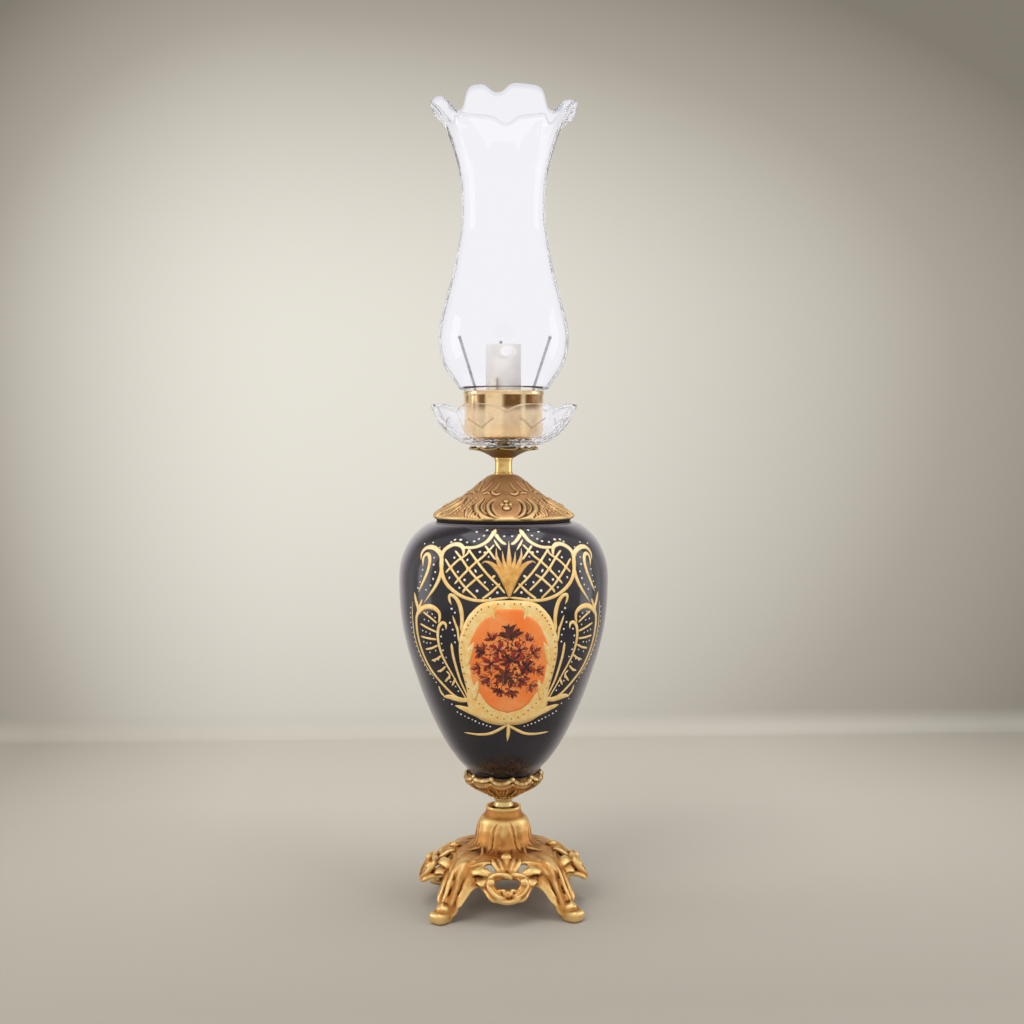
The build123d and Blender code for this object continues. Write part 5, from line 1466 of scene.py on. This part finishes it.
# ------------------------------------------------------------------ spring prongs
# Three close-wound steel springs hinged on the plate; they lean outward and grip the chimney's neck.
SPRING_WIRE = 0.42
SPRING_PITCH = 0.9
COIL_R = 0.72
for side_name in ("rear", "left", "right"):
    node = side_name + "_prong"
    spots = np.array([vertex.co[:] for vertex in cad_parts[node].data.vertices]) / mm
    heights = spots[:, 2]
    low_end = spots[heights < heights.min() + 3.0].mean(axis=0)
    high_end = spots[heights > heights.max() - 2.2].mean(axis=0)
    along = unit(high_end - low_end)
    start = low_end - along * 3.0
    aside = unit(np.cross(along, [0, 0, 1.0]))
    outward = np.cross(aside, along)
    turns = (np.linalg.norm(high_end - start) - 1.2) / SPRING_PITCH
    wind = np.linspace(0, 2 * np.pi * turns, int(turns * 9))
    coil = (start + np.outer(wind / (2 * np.pi) * SPRING_PITCH, along)
            + COIL_R * (np.outer(np.cos(wind), aside) + np.outer(np.sin(wind), outward)))
    way = unit(np.gradient(coil, axis=0))
    wide = unit(np.cross(way, along))
    ring = whole_turn(6)[None, :, None]
    tall = np.cross(wide, way)
    wire = coil[:, None] + SPRING_WIRE * (np.cos(ring) * wide[:, None] + np.sin(ring) * tall[:, None])
    bead = pebble(high_end - along * 0.3, (1.25, 1.25, 1.35), (aside, outward, along), rows=8, columns=14)
    spring = make_piece(side_name + "_spring", [capped(wire, coil[0], coil[-1]), bead])
    steel = turned_metal(side_name + "_spring_steel", (206, 206, 209), (124, 122, 122), 0.3, 300.0)
    spring.data.materials.append(steel)
    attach(spring, node)
    dress(node, plate_steel)

# ------------------------------------------------------------------ lampholder
# Cream moulded lampholder on the tube's end: a screwed cap, a shell, a ceramic insert with brass
# terminals, a threaded brass shell and a sprung centre contact. A brass post beside it takes the earth.
cream, tree, shader = finish_material("cream_moulding", Specular_IOR_Level=0.45,
                                      Subsurface_Weight=0.05, Subsurface_Scale=0.002)
mould_cloud = noise(place_of(tree), 60.0, 4.0)
mould_skin = noise(place_of(tree), 1600.0, 2.0)
mould_colour = blend_colour(spread(mould_cloud, 0.35, 0.7), tint(203, 199, 195), tint(214, 210, 206))
# A small rating plate is printed white near the top, left blank here
plate_across = sum_of(sum_of(height_up(tree, "X"), -0.0033), 0.0064, "DIVIDE")
plate_up = sum_of(sum_of(height_up(tree), -0.4138), 0.0042, "DIVIDE")
plate_round = sum_of(times(plate_across, plate_across), times(plate_up, plate_up))
on_plate = times(spread(plate_round, 0.9, 1.05, 1.0, 0.0),
                 spread(height_up(tree, "Y"), -0.006, -0.004, 1.0, 0.0))
surface(shader, blend_colour(on_plate, mould_colour, tint(222, 220, 220)),
        spread(mould_cloud, 0.3, 0.8, 0.3, 0.42))
bumped(shader, mould_skin, 0.00003)
for node in ("holder_cap", "holder_shell"):
    dress(node, cream)
ceramic, tree, shader = finish_material("insert_ceramic", Specular_IOR_Level=0.5)
ceramic_cloud = noise(place_of(tree), 260.0, 4.0)
surface(shader, blend_colour(ceramic_cloud, tint(232, 230, 222), tint(246, 245, 240)),
        spread(ceramic_cloud, 0.3, 0.7, 0.3, 0.5))
bumped(shader, ceramic_cloud, 0.00004)
dress("holder_insert", ceramic)
screw_brass = turned_metal("screw_brass", (226, 184, 104), (150, 106, 52), 0.28, 900.0)
for node in ("screw_shell", "terminal_screws", "centre_contact"):
    dress(node, screw_brass)
post_brass = turned_metal("post_brass", (246, 236, 218), (196, 176, 148), 0.36, 800.0)
for node in ("earth_post", "earth_screw"):
    dress(node, post_brass)

# ------------------------------------------------------------------ glass chimney
# Free-blown clear chimney: a collar that drops into the gallery, a round belly over the light, a long
# waist, and a trumpet mouth that was fluted and ruffled by hand while it was hot.
CHIMNEY_COLUMNS = 288
CHIMNEY_WALL = 2.0
chimney_line = [
    (27.9, 379.7), (28.5, 381), (28.6, 384.2), (29.6, 385.4), (33.4, 386.4), (35.2, 389), (38.2, 393.6),
    (41.6, 398), (44.2, 402.6), (46.1, 407), (47.6, 411.6), (48.4, 416), (49.1, 425), (48, 434), (46.1, 443),
    (43.9, 452), (41.6, 461), (39, 470), (36.8, 479), (35.2, 488), (33.4, 497), (32.2, 506), (31.5, 518),
    (32, 533), (32.8, 542), (34.5, 551), (36.8, 560), (39.8, 569), (43.9, 578), (48.6, 585), (53.2, 590.4),
]
chimney_rows = evenly(smooth_line(chimney_line), 230)
chimney_turn = whole_turn(CHIMNEY_COLUMNS)
# Bearings of the ruffle's dips, unevenly spaced as a hand-worked edge is
ruffle_dips = ((352.4, 6, 8), (42, 13, 11), (92, 9, 9), (130, 9, 7.6), (175, 6.5, 8.5), (230, 9.5, 7.6),
               (267, 9, 9), (317, 13, 9.5))
bearing = np.degrees(chimney_turn)
dip = np.zeros(CHIMNEY_COLUMNS)
for middle, deep, half_wide in ruffle_dips:
    off = (bearing - middle + 180) % 360 - 180
    dip = np.maximum(dip, deep * np.exp(-np.abs(off / half_wide) ** 2.8))
# The lips at each side were crimped more tightly and hang outward
from_front = np.abs((bearing + 180) % 360 - 180)
beside = np.exp(-((from_front - 74.0) / 26.0) ** 4)
crimp = beside * (np.sin(np.radians(bearing * 13.0)) + 0.3 * np.sin(np.radians(bearing * 24.0 + 40)))


def climbing(start, distance, power=1.0):
    """0 below a height, growing to 1 a distance above it."""
    return np.clip((row_height - start) / distance, 0, 1) ** power


row_r, row_height = chimney_rows[:, :1], chimney_rows[:, 1:]
ruffle = climbing(556, 34.4, 2.4)
lip_fold = climbing(578, 12.4, 1.5)
soft_flute = climbing(520, 70, 1.5)
low_front = 2.4 * np.clip(1 - np.abs(from_front - 50) / 50, 0, 1) ** 2
sway = 0.25 * np.sin(2 * chimney_turn + 0.6)[None] * np.sin((row_height - 380) / 60.0)
chimney_r = row_r + ruffle * (1.2 - 0.34 * dip) - soft_flute * 0.12 * dip
chimney_r = chimney_r + lip_fold * (1.1 * beside + 0.5 * crimp) + sway * climbing(390, 30)
chimney_z = row_height + ruffle * (9.0 - dip - low_front) - lip_fold * (3.2 * beside + 1.1 * crimp)
chimney_outer = round_axis(chimney_r, chimney_z, chimney_turn)
chimney_face = -facing(chimney_outer)  # its rows climb
chimney_inner = chimney_outer - CHIMNEY_WALL * chimney_face
chimney_mouth = polished_lip(chimney_outer, chimney_inner, 5, 1.1)
chimney_grid = np.concatenate([chimney_outer, chimney_mouth, chimney_inner[::-1]])
chimney_glass = make_piece("chimney_blown", [closed_round(chimney_grid)])
lip_mark = np.zeros(chimney_grid.shape[:2])
lip_mark[len(chimney_rows) - 2:len(chimney_rows) + 5] = 1.0
store(chimney_glass, "lip", lip_mark)
material, tree, shader = finish_material("blown_glass", Base_Color=clear_white, Roughness=0.0, IOR=1.06,
                                         Transmission_Weight=1.0, Coat_Weight=0.5)
# painted reflection: the thick glass in the notches of the lip is painted the blue-grey of what it reflects
# there
notch_across = sum_of(height_up(tree, "X"), 0.0, "ABSOLUTE")
beside_notch = times(spread(notch_across, 0.0345, 0.0365), spread(notch_across, 0.0405, 0.0425, 1.0, 0.0))
up_in_front = times(spread(height_up(tree), 0.584, 0.588),
                    spread(height_up(tree, "Y"), -0.03, -0.026, 1.0, 0.0))
notch_reflection_share = times(times(beside_notch, up_in_front), 0.75)
notch_painted_reflection = blend_colour(notch_reflection_share, clear_white, tint(140, 166, 184))
# and a thin grey line of painted shade runs along the turned lip, where its rounding bends the light
lip_shade_share = times(marked(tree, "lip"), 0.5)
feed(shader, Base_Color=blend_colour(lip_shade_share, notch_painted_reflection, tint(206, 206, 216)))
bumped(shader, noise(place_of(tree), 28.0, 2.0), 0.0006, 0.15)
let_light_in(shader)
chimney_glass.data.materials.append(material)
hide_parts("chimney")
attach(chimney_glass, "chimney")

# ------------------------------------------------------------------ studio
# Pale seamless paper: a floor that turns up into a wall behind the lamp, lit by large soft boxes.
FLOOR_HALF = 3.0
WALL_BACK = 0.618
WALL_HIGH = 2.2
SWEEP_R = 0.03
CAMERA_AWAY = 1.1014
CAMERA_HIGH = 0.3534
CAMERA_TURN = 3.0
CAMERA_PITCH = 1.87

sweep = [(-FLOOR_HALF, 0.0), (WALL_BACK - SWEEP_R, 0.0)]
for step in range(1, 13):
    bend = math.radians(90 * step / 12)
    sweep.append((WALL_BACK - SWEEP_R + SWEEP_R * math.sin(bend), SWEEP_R - SWEEP_R * math.cos(bend)))
sweep.append((WALL_BACK, WALL_HIGH))
paper_mesh = bpy.data.meshes.new("studio_paper")
paper_points = [(x, y, z) for y, z in sweep for x in (-FLOOR_HALF, FLOOR_HALF)]
paper_strips = [(2 * k, 2 * k + 1, 2 * k + 3, 2 * k + 2) for k in range(len(sweep) - 1)]
paper_mesh.from_pydata(paper_points, [], paper_strips)
paper = bpy.data.objects.new("studio_paper", paper_mesh)
bpy.context.scene.collection.objects.link(paper)
paper_mesh.shade_smooth()
material, tree, shader = finish_material("studio_paper", Roughness=0.9, Specular_IOR_Level=0.1)


# Painted light: a soft pool of light is painted on the wall left of the lamp, falling off to painted shade in
# the corners; the floor is painted plainer, darker towards the front and the sides
def evenly_spread(value, low, high):
    """Stretch part of a value's range over 0 to 1, in a straight line."""
    return spread(value, low, high, ease="LINEAR")


def either(first, second):
    """The greater of two values."""
    return sum_of(first, second, "MAXIMUM")


def rays_seen(tree):
    """1 on what the camera sees straight, in a mirror or through glass; and 1 on the last of them alone."""
    kind = tree.nodes.new("ShaderNodeLightPath").outputs
    through = kind["Is Transmission Ray"]
    return either(kind["Is Camera Ray"], either(kind["Is Glossy Ray"], through)), through


def away_from(axis, middle, half_below, half_above):
    """Squared distance from the glow's middle along one axis, in half widths that differ each way."""
    off = sum_of(height_up(tree, axis), -middle)
    scaled = either(sum_of(off, half_above, "DIVIDE"), sum_of(off, -half_below, "DIVIDE"))
    return times(scaled, scaled)


glow = sum_of(away_from("X", -0.208, 0.37, 0.78), away_from("Z", 0.45, 0.64, 0.385))
painted_glow_near = blend_colour(evenly_spread(glow, 0.0, 1.0), tint(231, 227, 216), tint(170, 163, 151))
painted_wall_light = blend_colour(evenly_spread(glow, 1.0, 1.8), painted_glow_near, tint(130, 124, 112))
floor_edge = evenly_spread(away_from("X", 0.0, 0.5, 0.62), 0.25, 1.0)
floor_back = blend_colour(floor_edge, tint(197, 192, 181), tint(171, 166, 154))
painted_floor_light = blend_colour(evenly_spread(height_up(tree, "Y"), -0.2, 0.3), tint(168, 162, 151), floor_back)
is_wall = spread(height_up(tree), 0.004, 0.03)
paper_near = blend_colour(is_wall, painted_floor_light, painted_wall_light)
# Well away from the lamp the paper runs out into the plain pale room
pale_room, seen_in_glass = tint(228, 224, 214), tint(243, 242, 247)
how_far = tree.nodes.new("ShaderNodeVectorMath")
how_far.operation = "LENGTH"
feed(how_far, _0=flattened(tree, (1, 1, 0)))
far_off = spread(how_far.outputs["Value"], 0.95, 1.28)
# Painted light: seen through the glass the paper is painted a clean bright white
seen, through = rays_seen(tree)
paper_colour_and_light = blend_colour(through, blend_colour(far_off, paper_near, pale_room), seen_in_glass)
feed(shader, Base_Color=paper_colour_and_light)
# The wall, the far paper and the paper seen through glass glow with these painted colours where they are
# seen, though they are no lamp; the near floor is lit by the lamps
wall_glow = tree.nodes.new("ShaderNodeEmission")
feed(wall_glow, Color=paper_colour_and_light)


def mixed_shader(share, under, over):
    """Mix two shaders."""
    node = tree.nodes.new("ShaderNodeMixShader")
    feed(node, Fac=share, _1=under, _2=over)
    return node.outputs["Shader"]


glowing_share = either(either(is_wall, far_off), through)
paper_mix = mixed_shader(times(glowing_share, seen), shader.outputs["BSDF"], wall_glow.outputs["Emission"])
# From behind, the wall lets the lamp be seen
from_behind = tree.nodes.new("ShaderNodeNewGeometry").outputs["Backfacing"]
clear_back = tree.nodes.new("ShaderNodeBsdfTransparent").outputs["BSDF"]
feed(tree.nodes["Material Output"], Surface=mixed_shader(from_behind, paper_mix, clear_back))
paper_mesh.materials.append(material)


def soft_box(name, place, aim, width, height, power, colour):
    """A large soft lamp."""
    light = bpy.data.lights.new(name, "AREA")
    light.shape = "RECTANGLE"
    light.size = width
    light.size_y = height
    light.energy = power
    light.color = colour
    lamp = bpy.data.objects.new(name, light)
    lamp.location = place
    lamp.rotation_euler = (Vector(aim) - Vector(place)).to_track_quat("-Z", "Y").to_euler()
    bpy.context.scene.collection.objects.link(lamp)
    return lamp


key = soft_box("key_box", (-0.75, -1.15, 1.25), (0, 0, 0.3), 1.0, 1.0, 12.2, (1, 0.99, 0.97))
fill = soft_box("fill_box", (1.2, -0.9, 0.8), (0, 0, 0.3), 0.8, 1.2, 5.8, (1, 1, 1))
top = soft_box("top_box", (0, -0.1, 1.7), (0, 0, 0), 1.4, 1.2, 9.0, (1, 1, 1))
left_edge = soft_box("left_edge_box", (-1, 0.1, 0.35), (0, 0, 0.3), 0.35, 0.9, 2.0, (0.94, 0.93, 1))
right_edge = soft_box("right_edge_box", (1, 0.1, 0.35), (0, 0, 0.3), 0.35, 0.9, 1.6, (0.94, 0.93, 1))
# The front lamps light the glaze without showing in it as hard squares
for lamp in (key, fill):
    lamp.visible_glossy = False
for lamp in (key, fill, top, left_edge, right_edge):
    lamp.visible_transmission = False

world = bpy.data.worlds.new("studio_air")
bpy.context.scene.world = world
world.use_nodes = True
air = world.node_tree
# Where the room itself is seen, past the paper or in metal and glass, it is a plain pale wall
room_seen, through = rays_seen(air)
room_colour = blend_colour(room_seen, (0.9, 0.9, 0.92, 1), pale_room)
feed(air.nodes["Background"], Color=blend_colour(through, room_colour, seen_in_glass),
     Strength=spread(room_seen, 0.0, 1.0, 0.55, 1.0))

camera_data = bpy.data.cameras.new("front_camera")
camera_data.lens = 51.72
camera_data.sensor_width = 36.0
camera_data.shift_x = 0.0083
camera_data.shift_y = -0.03
camera = bpy.data.objects.new("front_camera", camera_data)
turn = math.radians(CAMERA_TURN)
camera.location = (-CAMERA_AWAY * math.sin(turn), -CAMERA_AWAY * math.cos(turn), CAMERA_HIGH)
camera.rotation_euler = (math.radians(90 - CAMERA_PITCH), 0, -turn)
bpy.context.scene.collection.objects.link(camera)
bpy.context.scene.camera = camera
bpy.context.scene.view_settings.view_transform = "Standard"
